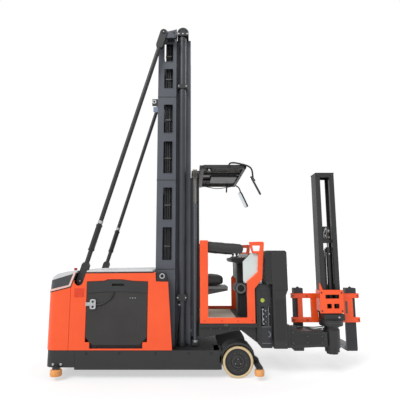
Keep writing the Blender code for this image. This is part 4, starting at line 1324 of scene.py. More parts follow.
        path: list[tuple[float, float, float]] = []
        out: list[tuple[float, float, float]] = []
        for x, z in (self.belt[2], self.belt[1]):
            path.append((x, -self.half, z))
            out.append((0, -1, 0))
        for x in (-1.78, -1.84):
            path.append((x, -self.half, level(x)))
            out.append((0, -1, 0))
        for angle in range(270, 179, -10):
            turn = math.radians(angle)
            x = back + radius + radius * math.cos(turn)
            path.append((x, -self.half + radius + radius * math.sin(turn), level(x)))
            out.append((math.cos(turn), math.sin(turn), 0))
        path += [(x, -y, z) for x, y, z in reversed(path)]
        out += [(x, -y, z) for x, y, z in reversed(out)]
        piece = self.piece("belt_trim", "pin_stripe", "void_black")
        ends = (Vector((-0.939, 0.0, 0.345)), Vector((-0.756, 0.0, 0.842)))
        shifts = [*ends, *[Vector((0.0, 0.0, 1.03))] * (len(path) - 4), *reversed(ends)]
        for offset, width, thick, finish in ((0.023, 0.024, 0.0040, 0), (0.006, 0.010, 0.0030, 1)):
            moved = [Vector(place) + shift * offset for place, shift in zip(path, shifts)]
            piece.add(band(moved, out, width, thick), finish)
        line = [
            self._recess_edge(1, 1.2545), (-0.690, 1.2610), (-0.690, 1.2700), self._recess_edge(1, 1.2635)
        ]
        for _, way in SIDES:
            piece.add(plate(Axis.Y, line, across(way, (0.6990, 0.7006)), 0.0), 1)
        piece.done("tail_cover", replaces=False)

    def _doors(self) -> None:
        """Battery doors with their caps, grips and rivets, and the battery behind them."""
        left, right = self.bay[0] + 0.004, self.bay[1] - 0.004
        top = self.bay_z[1] - 0.004
        lip = [(left + (right - left) * at / 12, 1.011 + 0.023 * (1 - (at / 6 - 1) ** 2)) for at in range(13)]
        for name, way in SIDES:
            piece = self.piece(f"door_{name}", "door_plastic", "cap_plastic", "void_black")
            low = [
                (left, top - 0.05), (left, 0.486), (left + 0.088, 0.396), (right - 0.088, 0.396),
                (right, 0.486), (right, top - 0.05),
            ]
            piece.add(plate(Axis.Y, low, across(way, (0.656, 0.697)), 0.004))
            grip = rounded((-1.209, -1.059), (1.097, 1.129), 0.010)
            cap = [*lip, (right, top), *reversed(self.hump), (left, top)]
            piece.add(plate(Axis.Y, cap, across(way, (0.676, 0.706)), 0.005, [grip]), 1)
            # A black block behind the grip slot paints the shade inside it.
            piece.add(box((-1.22, -1.05), across(way, (0.672, 0.6815)), (1.09, 1.137)), 2)
            piece.add(plate(
                Axis.Y, [(-1.475, 0.50), (-0.90, 0.50), (-0.90, 0.93), (-1.475, 0.93)],
                across(way, (0.690, 0.6985)), 0.003,
            ))
            piece.done(f"battery_door_{name}")
            spots = [(x, way * 0.6972, 0.955) for x in (-0.98, -0.95, -0.92)]
            self.copies(
                f"door_rivets_{name}", "rivet", facing((0, way, 0), *spots), "zinc", f"battery_door_{name}",
                0.013, 0.0,
            )
        case = self.piece("battery_block", "battery_case")
        case.add(box((-1.504, -0.784), (-0.645, 0.645), (SILL, 1.13), 0.008))
        case.done("battery")

    def _plug(self) -> None:
        """Battery plug and its cable on the near door."""
        piece = self.piece("battery_plug", "zinc", "void_black", "hose_rubber")
        piece.add(box((-1.528, -1.47), (-0.722, -0.699), (0.862, 0.905), 0.004))
        grip = rounded((-1.475, -1.400), (0.823, 0.943), 0.020)
        piece.add(plate(Axis.Y, grip, (-0.724, -0.702), 0.004))
        # Two black discs on the grip paint the shade in its two holes.
        for z in (0.853, 0.913):
            piece.add(rod((-1.437, -0.7265, z), (-1.437, -0.7235, z), 0.014), 1)
        route = [
            (-1.405, -0.713, 0.872), (-1.33, -0.712, 0.885), (-1.25, -0.712, 0.93), (-1.20, -0.712, 0.985),
            (-1.185, -0.711, 1.03),
        ]
        piece.add(tube(route, 0.008), 2)
        piece.done("battery_door_right", replaces=False)


@dataclass
class Struts(Builder):
    """Braces from the chassis up to the mast."""

    bar: float = 0.029
    half: float = 0.050

    def build(self) -> None:
        """Make both struts with their fork ends and turnbuckles."""
        for name, way in SIDES:
            low, high = (Vector((x, way * BRACE_Y, z)) for x, z in (BRACE_LOW, BRACE_HIGH))
            along = (high - low).normalized()
            piece = self.piece(f"brace_{name}", "black_paint", "zinc", "soft_black")
            piece.add(rod(low + along * 0.15, high - along * 0.15, self.bar))
            for eye, outward in ((low, along), (high, -along)):
                self._clevis(piece, eye, outward)
            piece.add(rod(low + along * 0.42, low + along * 0.72, self.bar + 0.009, sides=6), 2)
            for place in (0.395, 0.72):
                piece.add(
                    rod(low + along * place, low + along * (place + 0.026), self.bar + 0.013, sides=6), 2
                )
            piece.add(rod(low + along * 0.76, low + along * 0.80, self.bar + 0.004), 1)
            piece.done(f"strut_{name}")

    def _clevis(self, piece: Piece, eye: Vector, outward: Vector) -> None:
        """Fork end round an eye, with its pin.

        Args:
            piece: Piece that takes the shapes.
            eye: Middle of the pin.
            outward: Direction of the strut from the eye.
        """

        def spot(along: float, over: float) -> Pair:
            """Place in (x, z) at a distance along the strut and across it."""
            x, z = outward.x, outward.z
            return eye.x + along * x + over * z, eye.z + along * z - over * x

        half = self.half
        tip = [spot(0.205, -half), spot(0.235, -0.65 * half), spot(0.235, 0.65 * half), spot(0.205, half)]
        sides = [spot(*point) for point in arc((0.0, 0.0), half, 90, 270, 12)] + tip
        root = [spot(0.095, -half), *tip, spot(0.095, half)]
        for low, high in ((0.0145, 0.031), (-0.031, -0.0145)):
            piece.add(plate(Axis.Y, sides, (eye.y + low, eye.y + high), 0.003))
        piece.add(plate(Axis.Y, root, (eye.y - 0.016, eye.y + 0.016), 0.002))
        for reach, radius, count, finish in (
            (0.0345, 0.030, 24, 2), (0.042, 0.019, 6, 0), (0.044, 0.007, 16, 1)
        ):
            piece.add(
                rod((eye.x, eye.y - reach, eye.z), (eye.x, eye.y + reach, eye.z), radius, sides=count), finish
            )


@dataclass
class Mast(Builder):
    """Outer mast with its hoses, the lift cylinders and the inner mast."""

    column_x: Range = (-0.690, -0.434)
    column_y: Range = (0.365, 0.500)
    top: float = 4.57
    foot: float = 0.3353
    wall: float = 0.014
    window_x: Range = (-0.605, -0.482)
    windows: tuple[Range, ...] = (
        (1.42, 1.85), (1.95, 2.385), (2.58, 3.03), (3.15, 3.56), (3.80, 4.09), (4.20, 4.47)
    )
    joints: tuple[float, ...] = (1.303, 2.488, 3.671)
    rail_x: Range = (-0.445, -0.233)
    rail_y: Range = (0.305, 0.385)
    cylinder: tuple[float, float, float] = (-0.3485, 0.445, 0.0515)
    cylinder_top: float = 4.585
    inner_x: Range = (-0.409, -0.258)
    inner_y: Range = (0.265, 0.345)
    rib_pitch: float = 0.022
    rib_size: Point = (0.022, 0.052, 0.014)
    crown: Pair = (-0.345, 4.648)

    def build(self) -> None:
        """Make every piece of the mast."""
        self._outer()
        self._hoses()
        self._cylinders()
        self._inner()
        self._small_parts()

    def _channel(self, x: Range, y: Range, wall: float, back: float) -> Flat:
        """Plan of a rail that is open towards the middle of the truck.

        Args:
            x: Limits along X.
            y: Inner and outer distance from the middle.
            wall: Thickness of its flanges.
            back: Thickness of its web.

        Returns:
            The outline in (x, y) on the left side.
        """
        return [
            (x[0], y[0]), (x[0], y[1]), (x[1], y[1]), (x[1], y[0]), (x[1] - wall, y[0]),
            (x[1] - wall, y[1] - back), (x[0] + wall, y[1] - back), (x[0] + wall, y[0]),
        ]

    def _outer(self) -> None:
        """Columns with their windows, the rails and the crossmembers."""
        piece = self.piece("outer_columns", "mast_paint", "black_paint")
        left, right = self.column_x
        low, high = self.column_y
        height = (self.foot, self.top)
        for _, way in SIDES:
            face = [(left, self.foot), (right, self.foot), (right, self.top), (left, self.top)]
            holes = [rounded(self.window_x, window, 0.012) for window in self.windows]
            piece.add(plate(Axis.Y, face, across(way, (high - self.wall, high)), 0.002, holes))
            piece.add(box((left, left + self.wall), across(way, (low, high - 0.002)), height, 0.004))
            piece.add(box((right - self.wall, right), across(way, (low, high - 0.002)), height))
            piece.add(box((-0.592, -0.448), across(way, (low, low + self.wall)), height))
            piece.add(box((left, right), across(way, (low, high)), (self.top - 0.03, self.top)))
            outline = [(x, way * y) for x, y in self._channel(self.rail_x, self.rail_y, 0.018, 0.020)]
            piece.add(plate(Axis.Z, outline, (self.foot, 4.59), 0.003))
            cap = [
                (-0.600, 4.560), (-0.447, 4.560), (-0.447, 4.600), (-0.432, 4.604), (-0.432, 4.700),
                (-0.470, 4.688), (-0.600, 4.655),
            ]
            piece.add(plate(Axis.Y, cap, across(way, (low + 0.005, high + 0.004)), 0.004))
            ear = [(-0.580, 4.500), (-0.460, 4.500), (-0.460, 4.560), (-0.560, 4.600)]
            ear += arc(BRACE_HIGH, EAR_RADIUS, 40, 250, 12)
            piece.add(plate(Axis.Y, ear, ear_limits(way)))
            piece.add(box((-0.562, -0.463), across(way, (high - 0.01, 0.60)), (4.502, 4.535)), 1)
            for z in self.joints:
                piece.add(box(
                    (left - 0.003, right - 0.004), across(way, (high - 0.004, high + 0.004)),
                    (z - 0.004, z + 0.004), 0.001,
                ), 1)
            for window in self.windows:
                frame_x = (self.window_x[0] - 0.010, self.window_x[1] + 0.010)
                rim = rounded(frame_x, (window[0] - 0.010, window[1] + 0.010), 0.018)
                piece.add(plate(
                    Axis.Y, rim, across(way, (high - 0.002, high + 0.0025)), 0.001,
                    [rounded(self.window_x, window, 0.012)],
                ))
            x, y, radius = self.cylinder
            for limits, reach in (((3.80, 3.86), 0.066), ((0.90, 0.98), 0.070)):
                collar = rounded((x - reach, x + reach), (self.rail_y[1] - 0.002, y + 0.061), 0.020)
                hole = circle((x, y), radius + 0.0004, 40)
                collar = [(a, way * b) for a, b in collar]
                hole = [(a, way * b) for a, b in hole]
                piece.add(plate(Axis.Z, collar, limits, 0.003, [hole]), 1)
        for z in ((0.40, 0.60), (1.26, 1.36), (2.44, 2.54), (3.62, 3.72), (4.42, 4.52)):
            piece.add(box((left + 0.004, left + 0.05), (-low - 0.035, low + 0.035), z, 0.004))
        piece.done("outer_mast")
        for name, way in SIDES:
            spots = [(x, way * (high + 0.0035), z) for x in (-0.575, -0.475) for z in (4.585, 4.640)]
            self.copies(
                f"column_bolts_{name}", "bolt", facing((0, way, 0), *spots), "soft_black", "outer_mast", 0.026
            )
            x, y, _ = self.cylinder
            ends = [(x + shift, way * (y + 0.0605), z) for shift in (-0.052, 0.052) for z in (3.83, 0.94)]
            self.copies(
                f"clamp_bolts_{name}", "socket_screw", facing((0, way, 0), *ends), "zinc", "outer_mast", 0.020
            )

    def _hoses(self) -> None:
        """Hoses and the ribbed cable chain behind the windows."""
        piece = self.piece("mast_hoses", "hose_rubber", "dark_steel")
        for _, way in SIDES:
            for x, y, radius in ((-0.572, 0.440, 0.010), (-0.548, 0.448, 0.008), (-0.522, 0.436, 0.011)):
                run = [
                    (x, way * y, 0.50), (x + 0.004, way * (y + 0.004), 1.8), (x - 0.003, way * y, 3.1),
                    (x, way * y, 4.50),
                ]
                piece.add(tube(run, radius))
            for z in (1.60, 2.15, 2.80, 3.35, 3.95, 4.30):
                piece.add(
                    box((-0.590, -0.505), across(way, (0.424, 0.462)), (z - 0.010, z + 0.010), 0.003), 1
                )
        piece.done("outer_mast", replaces=False)
        ribs = []
        for z_low, z_high in self.windows:
            z = z_low
            while z < z_high:
                ribs += [(-0.495, -0.410, z), (-0.495, 0.410, z)]
                z += self.rib_pitch
        self.copies(
            "cable_chain", "rib", facing((0, 0, 1), *ribs), "soft_black", "outer_mast", self.rib_size, 0.0
        )

    def _cylinders(self) -> None:
        """Main lift cylinders with their glands and ports."""
        x, y, radius = self.cylinder
        for name, way in SIDES:
            # The lift barrels take the darker copy of the mast paint as painted shade.
            piece = self.piece(f"lift_barrel_{name}", "mast_dark", "zinc", "soft_black")
            start, end = (x, way * y, self.foot), (x, way * y, self.cylinder_top)
            tall = self.cylinder_top - self.foot
            profile = [
                (0.0, radius), (tall - 0.075, radius), (tall - 0.075, radius - 0.004),
                (tall - 0.060, radius - 0.004), (tall - 0.060, radius), (tall, radius), (tall, 0.0255),
                (tall - 0.03, 0.0255),
            ]
            piece.add(turned(start, end, profile, 48))
            piece.add(rod(
                (x - 0.03, way * (y + 0.052), 0.847), (x - 0.03, way * (y + 0.068), 0.847), 0.014, sides=6
            ), 1)
            hose = [
                (x - 0.03, way * (y + 0.064), 0.847), (x - 0.03, way * (y + 0.080), 0.80),
                (x - 0.05, way * (y + 0.078), 0.62), (x - 0.07, way * (y + 0.060), 0.45),
                (x - 0.075, way * (y + 0.050), 0.345),
            ]
            piece.add(tube(hose, 0.009), 2)
            piece.add(ring((x, way * y, 0.345), (x, way * y, 0.375), radius, radius + 0.010), 2)
            piece.done(f"lift_cylinder_{name}")

    def _inner(self) -> None:
        """Inner mast with its crossheads and the humps over the rods."""
        # The inner mast takes the darker copy of the mast paint as painted shade.
        piece = self.piece("inner_rails", "mast_dark", "black_paint", "bright_steel")
        x, y, _ = self.cylinder
        for _, way in SIDES:
            outline = [(a, way * b) for a, b in self._channel(self.inner_x, self.inner_y, 0.014, 0.020)]
            piece.add(plate(Axis.Z, outline, (0.345, 4.62), 0.003))
            piece.add(box((-0.426, -0.264), across(way, (0.300, y + 0.055)), (4.600, 4.655), 0.005), 1)
            hump = arc(self.crown, 0.082, 180, 0, 20) + arc(self.crown, 0.060, 0, 180, 16)
            piece.add(plate(Axis.Y, hump, across(way, (y - 0.050, y + 0.050)), 0.004))
            piece.add(rod((x, way * y, 0.45), (x, way * y, 4.64), 0.025), 2)
            piece.add(rod(
                (self.crown[0], way * (y - 0.046), self.crown[1] + 0.012),
                (self.crown[0], way * (y + 0.046), self.crown[1] + 0.012), 0.050,
            ), 1)
            piece.add(rod((-0.3335, way * 0.335, 0.50), (-0.3335, way * 0.357, 0.50), 0.0805), 2)
        for z in ((0.40, 0.54), (2.20, 2.30), (4.44, 4.56)):
            piece.add(box((-0.449, -0.403), (-0.295, 0.295), z, 0.004))
        piece.done("inner_mast")
        for name, way in SIDES:
            spots = [(x, way * 0.5005, 4.628) for x in (-0.405, -0.345, -0.285)]
            self.copies(
                f"crosshead_bolts_{name}", "bolt", facing((0, way, 0), *spots), "zinc", "inner_mast", 0.024
            )

    def _small_parts(self) -> None:
        """Roller bracket and clip on the near column."""
        piece = self.piece("mast_fittings", "black_paint", "zinc", "clip_blue")
        piece.add(box((-0.770, -0.688), (-0.500, -0.470), (3.546, 3.642), 0.005))
        piece.add(rod((-0.742, -0.505, 3.600), (-0.742, -0.465, 3.600), 0.030), 1)
        piece.add(rod((-0.742, -0.512, 3.600), (-0.742, -0.500, 3.600), 0.014, sides=6))
        piece.add(box((-0.753, -0.688), (-0.498, -0.478), (3.454, 3.529), 0.006), 2)
        piece.done("outer_mast", replaces=False)


@dataclass
class FreeLift(Builder):
    """Free lift cylinders with their sheaves and leaf chains."""

    x: float = -0.175
    y: float = 0.460
    top: float = 2.17
    sheave: Pair = (2.60, 0.034)
    pitch: float = 0.0245
    link_size: Point = (0.0240, 0.046, 0.0115)
    chain_foot: float = 0.665
    chain_lift: float = 0.0063
    bend_links: int = 5

    def build(self) -> None:
        """Make the cylinders, the rods with their sheaves and the chains."""
        piece = self.piece("free_lift_barrels", "mast_paint", "black_paint", "zinc")
        piece.add(box((-0.222, -0.14), (-self.y - 0.035, self.y + 0.035), (0.345, 0.385), 0.004), 1)
        for _, way in SIDES:
            place = (self.x, way * self.y)
            profile = [
                (0.0, 0.024), (1.74, 0.024), (1.74, 0.027), (1.80, 0.027), (1.80, 0.0135), (1.79, 0.0135)
            ]
            piece.add(turned((*place, 0.37), (*place, 2.0), profile, 32))
            piece.add(ring((*place, 0.384), (*place, 0.410), 0.0235, 0.034), 2)
            piece.add(box((-0.2575, -0.20), across(way, (0.200, 0.295)), (0.345, 0.385)), 1)
        piece.done("free_lift_cylinders")
        level, radius = self.sheave
        for name, way in SIDES:
            y = way * self.y
            head = self.piece(f"sheave_{name}", "bright_steel", "dark_steel", "zinc")
            head.add(rod((self.x, y, 0.46), (self.x, y, level - 0.07), 0.013))
            head.add(box(
                (self.x - 0.045, self.x + 0.045), (y - 0.020, y + 0.020), (level - 0.085, level - 0.055),
                0.003,
            ), 1)
            for x in (self.x - 0.039, self.x + 0.039):
                head.add(box(
                    (x - 0.006, x + 0.006), (y - 0.020, y + 0.020), (level - 0.085, level + 0.022), 0.003
                ), 1)
            head.add(rod((self.x - 0.050, y, level), (self.x + 0.050, y, level), 0.013, sides=6), 2)
            wheel = [
                (0.0, radius - 0.004), (0.004, radius + 0.004), (0.006, radius + 0.004),
                (0.009, radius - 0.001), (0.051, radius - 0.001), (0.054, radius + 0.004),
                (0.056, radius + 0.004), (0.060, radius - 0.004),
            ]
            head.add(turned((self.x - 0.030, y, level), (self.x + 1.0, y, level), wheel, 32), 1)
            head.done(f"free_lift_rod_{name}")
            self._chain(name, way)

    def _chain(self, name: str, way: int) -> None:
        """Leaf chain from the cab over the sheave and down to the cylinder.

        Args:
            name: Side of the truck.
            way: Side as the sign of y.
        """
        level, radius = self.sheave
        reach = radius + self.chain_lift
        y = way * self.y
        spots: list[Spot] = []
        place = self.chain_foot
        while place < level:
            spots.append(
                ((self.x, y - way * reach, place), self._turn(Vector((0, 0, 1)), Vector((0, way, 0))))
            )
            place += self.pitch
        for at in range(self.bend_links):
            angle = math.pi * (at + 0.5) / self.bend_links
            outward = Vector((0, -way * math.cos(angle), math.sin(angle)))
            forward = Vector((0, way * math.sin(angle), math.cos(angle)))
            spots.append((Vector((self.x, y, level)) + outward * reach, self._turn(forward, outward)))
        place = level - self.pitch / 2
        while place > self.top + 0.02:
            spots.append(
                ((self.x, y + way * reach, place), self._turn(Vector((0, 0, 1)), Vector((0, way, 0))))
            )
            place -= self.pitch
        log.info("chain %s has %d links", name, len(spots))
        self.copies(
            f"leaf_chain_{name}", "chain_link", spots, "chain_steel", f"lift_chain_{name}", self.link_size,
            0.0, True,
        )

    @staticmethod
    def _turn(along: Vector, outward: Vector) -> Euler:
        """Turn of a link whose chain runs one way and whose back faces another.

        Args:
            along: Direction of the chain.
            outward: Direction away from the sheave.

        Returns:
            The turn as angles.
        """
        pins = outward.cross(along)
        return Matrix((along, pins, outward)).transposed().to_euler()


def cushion(
    centre: Point, half: Point, pull: float, crown: float, soft: float = 0.45, cuts: int = 14
) -> Mesh:
    """Padded block: crowned faces, round edges and sides that pull in between the corners.

    Args:
        centre: Middle of the block.
        half: Half of its length, width and height.
        pull: How far a side's middle comes in, as a share of the half size.
        crown: How far the middle of the top and bottom stands over their rims.
        soft: Roundness of the edges, as a share of the half height.
        cuts: Faces along each side.

    Returns:
        The closed mesh.
    """
    bm = bmesh.new()
    bmesh.ops.create_cube(bm, size=2.0)
    bmesh.ops.subdivide_edges(bm, edges=bm.edges[:], cuts=cuts, use_grid_fill=True)
    radius = soft * half[2]
    for vert in bm.verts:
        u, v, w = vert.co
        inner = Vector((u * (half[0] - radius), v * (half[1] - radius), w * (half[2] - crown - radius)))
        shell = Vector((abs(u) ** 6 * u, abs(v) ** 6 * v, abs(w) ** 6 * w))
        place = inner + (shell.normalized() * radius if shell.length else shell)
        rise = crown * (1 - u * u) * (1 - v * v)
        place.z += rise * w
        place.x *= 1 - pull * (1 - v * v) * abs(u)
        place.y *= 1 - pull * (1 - u * u) * abs(v)
        vert.co = Vector(centre) + place
    return bm


def sleeve(start: Vector, end: Vector, half: Pair, folds: int, depth: float) -> Mesh:
    """Padded bar with round ends and lengthwise folds.

    Args:
        start: Middle of one end's rounding.
        end: Middle of the other end's rounding.
        half: Half of its height and of its width.
        folds: Folds round the bar.
        depth: Depth of a fold.

    Returns:
        The closed mesh.
    """
    along = (end - start).normalized()
    up = Vector((-along.z, 0.0, along.x))
    out = up.cross(along)
    length = (end - start).length
    stations = 44
    sides = 36
    bm = bmesh.new()
    loops = []
    for at in range(1, stations):
        share = at / stations
        travel = -half[0] + (length + 2 * half[0]) * share
        over = max(-travel, travel - length, 0.0) / half[0]
        fall = math.sqrt(max(1.0 - over ** 2.6, 0.0))
        bulge = 1.0 + 0.020 * math.sin(share * 19.0) + 0.012 * math.sin(share * 43.0 + 1.0)
        loop = []
        for step in range(sides):
            angle = math.tau * step / sides
            fold = depth * max(0.0, math.cos(folds * angle + 0.6 * math.sin(share * 9.0))) ** 3
            high = (half[0] * fall * bulge - fold * fall) * math.sin(angle)
            turn = math.copysign(abs(math.cos(angle)) ** 0.75, math.cos(angle))
            wide = (half[1] * min(1.0, 0.25 + fall) - fold * fall) * turn
            loop.append(bm.verts.new(start + along * travel + up * high + out * wide))
        loops.append(loop)
    skin(bm, loops)
    for loop, travel in ((loops[0], -half[0]), (loops[-1], length + half[0])):
        pole = bm.verts.new(start + along * travel)
        for step in range(sides):
            bm.faces.new((loop[step], loop[(step + 1) % sides], pole))
    return bm


@dataclass
class Cab(Builder):
    """Driver's platform with its frames, mat, seat, console, barriers and guard."""

    half: float = 0.62
    sheet: float = 0.035
    floor: float = 0.636
    mat_top: float = 0.662
    column_x: Range = (-0.225, -0.117)
    column_y: Range = (0.280, 0.400)
    inner_y: float = 0.265
    guard_x: Range = (-0.115, 0.50)
    guard_z: float = 2.63
    guard_half: float = 0.675
    beam_half: float = 0.578
    hub: Pair = (0.461, 1.03)
    mat_strips: int = 5
    roof_bars: int = 7
    roof_bar_half: float = 0.55
    mirror_turn: float = 14.0
    mirror_lean: float = 26.0
    seat: Point = (0.053, 0.0, 1.1430)
    seat_pull: float = 0.035

    def build(self) -> None:
        """Make every piece of the cab."""
        self._frame()
        self._sides()
        self._mat()
        self._seat()
        self._console()
        self._barriers()
        self._guard()
        self._mirrors()

    def _frame(self) -> None:
        """Steel frame under and behind the platform."""
        piece = self.piece("cab_steel", "black_paint", "dark_steel")
        half = self.half - 0.02
        under = [(-0.125, 0.440), (0.295, 0.531), (0.416, 0.546), (0.416, 0.600), (-0.125, 0.600)]
        piece.add(plate(Axis.Y, under, (-half + 0.04, half - 0.04), 0.004))
        piece.add(box((-0.125, 0.6015), (-half, half), (0.585, self.floor), 0.004))
        back = self.column_y[0] + 0.02
        piece.add(box((-0.150, -0.122), (-back, back), (0.60, 1.30)))
        piece.add(box((-0.20, -0.14), (-back, back), (2.48, 2.58)))
        for _, way in SIDES:
            piece.add(box(self.column_x, across(way, self.column_y), (0.44, 2.60), 0.004))
            piece.add(box((-0.225, -0.150), across(way, (self.inner_y - 0.028, back)), (0.50, 1.30)))
            piece.add(
                box((-0.232, -0.150), across(way, (self.inner_y - 0.026, self.inner_y - 0.018)), (1.28, 2.57))
            )
            piece.add(
                box((-0.392, -0.180), across(way, (self.inner_y - 0.028, self.inner_y - 0.010)), (0.50, 1.30))
            )
            for z in (0.62, 1.18):
                piece.add(rod((-0.3335, way * 0.245, z), (-0.3335, way * 0.315, z), 0.060), 1)
            gusset = [(0.38, 0.59), (0.38, 0.56), (0.6015, 0.395), (0.6015, 0.59)]
            piece.add(
                plate(Axis.Y, gusset, across(way, (self.beam_half - 0.078, self.beam_half - 0.033)), 0.003)
            )
            for limits in ((0.390, 0.412), (0.428, 0.445)):
                piece.add(box((-0.225, -0.135), across(way, limits), (0.64, 0.71)))
            piece.add(rod((-0.175, way * 0.385, 0.675), (-0.175, way * 0.448, 0.675), 0.010), 1)
            piece.add(
                box((0.185, 0.234), across(way, (half - 0.010, half + 0.012)), (0.600, 0.634), 0.004), 1
            )
        piece.done("cab_frame")
        for name, way in SIDES:
            row = [(x, way * (half - 0.0395), 0.562 + 0.02 * x) for x in (0.02, 0.14, 0.26, 0.38)]
            self.copies(
                f"platform_bolts_{name}", "bolt", facing((0, way, 0), *row), "dark_steel", "cab_frame", 0.022
            )

    def _sides(self) -> None:
        """Orange side frames with their handles, and the clear panes."""
        posts = {
            "right": [(0.622, 1.270), (0.482, 1.150), (0.480, 0.706)],
            "left": [(0.622, 1.290), (0.461, 1.212), (0.402, 1.140), (0.402, 0.706)],
        }
        inner = self.half - self.sheet
        for name, way in SIDES:
            outline = [
                (-0.115, self.floor), (0.579, self.floor), (0.579, 1.062), (0.678, 1.180), (0.712, 1.640),
                (0.698, 1.655), (0.520, 1.650), (0.530, 1.590), (0.558, 1.508), (0.634, 1.500), *posts[name],
                (-0.010, 0.706), (-0.010, 1.672), (-0.115, 1.672),
            ]
            hole = [(0.572, 1.534), (0.650, 1.534), (0.662, 1.604), (0.560, 1.604)]
            piece = self.piece(f"cab_wall_{name}", "orange_paint")
            piece.add(plate(Axis.Y, outline, across(way, (inner, self.half)), 0.007, [hole]))
            piece.done(f"cab_side_{name}")
            pane = [
                (0.436, 1.165), (0.460, 1.130), (0.600, 1.130), (0.660, 1.200), (0.668, 1.512),
                (0.545, 1.512), (0.436, 1.400),
            ]
            glass = self.piece(f"pane_{name}", "pale_sheet", "soft_black")
            glass.add(plate(Axis.Y, pane, across(way, (inner - 0.0063, inner - 0.0003)), 0.0015))
            edge = [
                (x, way * (inner - 0.0033), z) for x, z in ((0.436, 1.165), (0.436, 1.400), (0.545, 1.512))
            ]
            glass.add(tube(edge, 0.004, steps=1), 1)
            glass.done(f"side_pane_{name}")
            # The sill rivets take the darker copy of the orange paint, which paints the shade round their
            # heads.
            low = [(x, way * (self.half + 0.0003), 0.672) for x in (-0.06, 0.16, 0.36, 0.54)]
            self.copies(
                f"sill_bolts_{name}", "rivet", facing((0, way, 0), *low), "orange_deep", f"cab_side_{name}",
                0.020, 0.0,
            )

    def _mat(self) -> None:
        """Floor mat with its seams and dark border."""
        half = self.half - self.sheet - 0.001
        piece = self.piece("mat", "cream_mat", "black_rubber")
        piece.add(box((-0.114, 0.560), (-half, half), (self.floor + 0.0003, self.mat_top - 0.002), 0.004))
        wide = (2 * half - 0.02) / self.mat_strips
        for at in range(self.mat_strips):
            low = -half + 0.010 + at * wide
            high = low + wide - 0.006
            slant = [(-0.105, low), (0.36, low), (0.36, high), (-0.105, high)]
            piece.add(plate(Axis.Z, slant, (self.floor + 0.01, self.mat_top), 0.003))
        border = [(0.372, -half + 0.01), (0.552, -half + 0.01), (0.552, half - 0.01), (0.372, half - 0.01)]
        piece.add(plate(Axis.Z, border, (self.floor + 0.01, self.mat_top), 0.003), 1)
        piece.done("floor_mat")

    def _seat(self) -> None:
        """Fold-down seat on its bracket."""
        bracket = self.piece("seat_mount", "grey_paint", "dark_steel")
        bracket.add(box((-0.1217, 0.278), (-0.20, 0.20), (1.024, 1.060), 0.004))
        arm = [(-0.1217, 0.925), (0.0, 0.935), (0.290, 0.992), (0.290, 1.012), (-0.1217, 1.03)]
        bracket.add(plate(Axis.Y, arm, (-0.06, 0.06), 0.004))
        bracket.add(rod((-0.100, -0.205, 1.035), (-0.100, 0.205, 1.035), 0.014), 1)
        bracket.done("seat_bracket")
        x, y, z = self.seat
        pull = self.seat_pull
        piece = self.piece("seat_cushion", "seat_vinyl")
        piece.add(cushion(self.seat, (0.166, 0.206, 0.081), pull, 0.016, 0.60))
        piece.done("seat", angle=70.0)
        seam = self.piece("seat_seam", "black_rubber")
        for shift in (-0.030, 0.030):
            loop = []
            for at in range(40):
                angle = math.tau * at / 40
                u = math.copysign(abs(math.cos(angle)) ** 0.35, math.cos(angle))
                v = math.copysign(abs(math.sin(angle)) ** 0.35, math.sin(angle))
                along, wide = 0.1635 * u * (1 - pull * (1 - v * v)), 0.2035 * v * (1 - pull * (1 - u * u))
                loop.append((x + along, y + wide, z + shift))
            seam.add(tube(loop, 0.0035, sides=6, steps=1, closed=True))
        seam.done("seat", replaces=False, angle=70.0)

    def _console(self) -> None:
        """Steering console with its controls."""
        foot = self.mat_top + 0.0003
        piece = self.piece(
            "console_body", "soft_black", "grey_paint", "signal_red", "signal_yellow", "zinc", "lamp_lens"
        )
        piece.add(box((0.420, 0.510), (-0.10, 0.10), (foot, 1.40), 0.010))
        skirt = [(0.445, foot), (0.567, foot), (0.545, 0.90), (0.515, 1.107), (0.445, 1.107)]
        piece.add(plate(Axis.Y, skirt, (-0.13, 0.13), 0.006))
        x, z = self.hub
        profile = [
            (0.0, 0.060), (0.006, 0.080), (0.012, 0.080), (0.308, 0.080), (0.314, 0.080), (0.320, 0.060)
        ]
        piece.add(turned((x, -0.16, z), (x, 1.0, z), profile, 36))
        for _, way in SIDES:
            piece.add(ring((x, way * 0.157, z), (x, way * 0.168, z), 0.046, 0.070), 1)
            piece.add(rod((x, way * 0.155, z), (x, way * 0.164, z), 0.030))
        head = [
            (0.307, 1.432), (0.330, 1.392), (0.440, 1.373), (0.560, 1.373), (0.640, 1.400), (0.655, 1.430),
            (0.500, 1.453), (0.335, 1.448),
        ]
        piece.add(plate(Axis.Y, head, (-0.36, 0.36), 0.010))
        for y in (-0.24, 0.24):
            piece.add(turned(
                (0.400, y, 1.440), (0.400, y, 2.0),
                [(0.0, 0.052), (0.010, 0.052), (0.020, 0.034), (0.028, 0.030)], 32,
            ))
            piece.add(turned(
                (0.400, y, 1.462), (0.400, y, 2.0),
                [(0.0, 0.012), (0.020, 0.010), (0.024, 0.019), (0.040, 0.019), (0.048, 0.008)], 20,
            ))
            piece.add(rod((0.470, y, 1.440), (0.470, y, 1.462), 0.012), 2)
            piece.add(rod((0.520, y * 1.1, 1.436), (0.520, y * 1.1, 1.456), 0.010), 3)
            piece.add(rod((0.440, y * 1.25, 1.440), (0.440, y * 1.25, 1.456), 0.008), 4)
        screen = [(0.520, 1.452), (0.545, 1.452), (0.600, 1.470), (0.590, 1.474)]
        piece.add(plate(Axis.Y, screen, (-0.09, 0.09), 0.003))
        piece.add(box((0.540, 0.552), (-0.33, -0.30), (1.444, 1.474), 0.003), 3)
        piece.done("console")
        wedge = self.piece("cab_wedge", "signal_yellow")
        strap = [(0.562, 1.470), (0.574, 1.466), (0.596, 1.532), (0.584, 1.534)]
        wedge.add(plate(Axis.Y, strap, (-0.584, -0.560), 0.003))
        wedge.done("console", replaces=False)

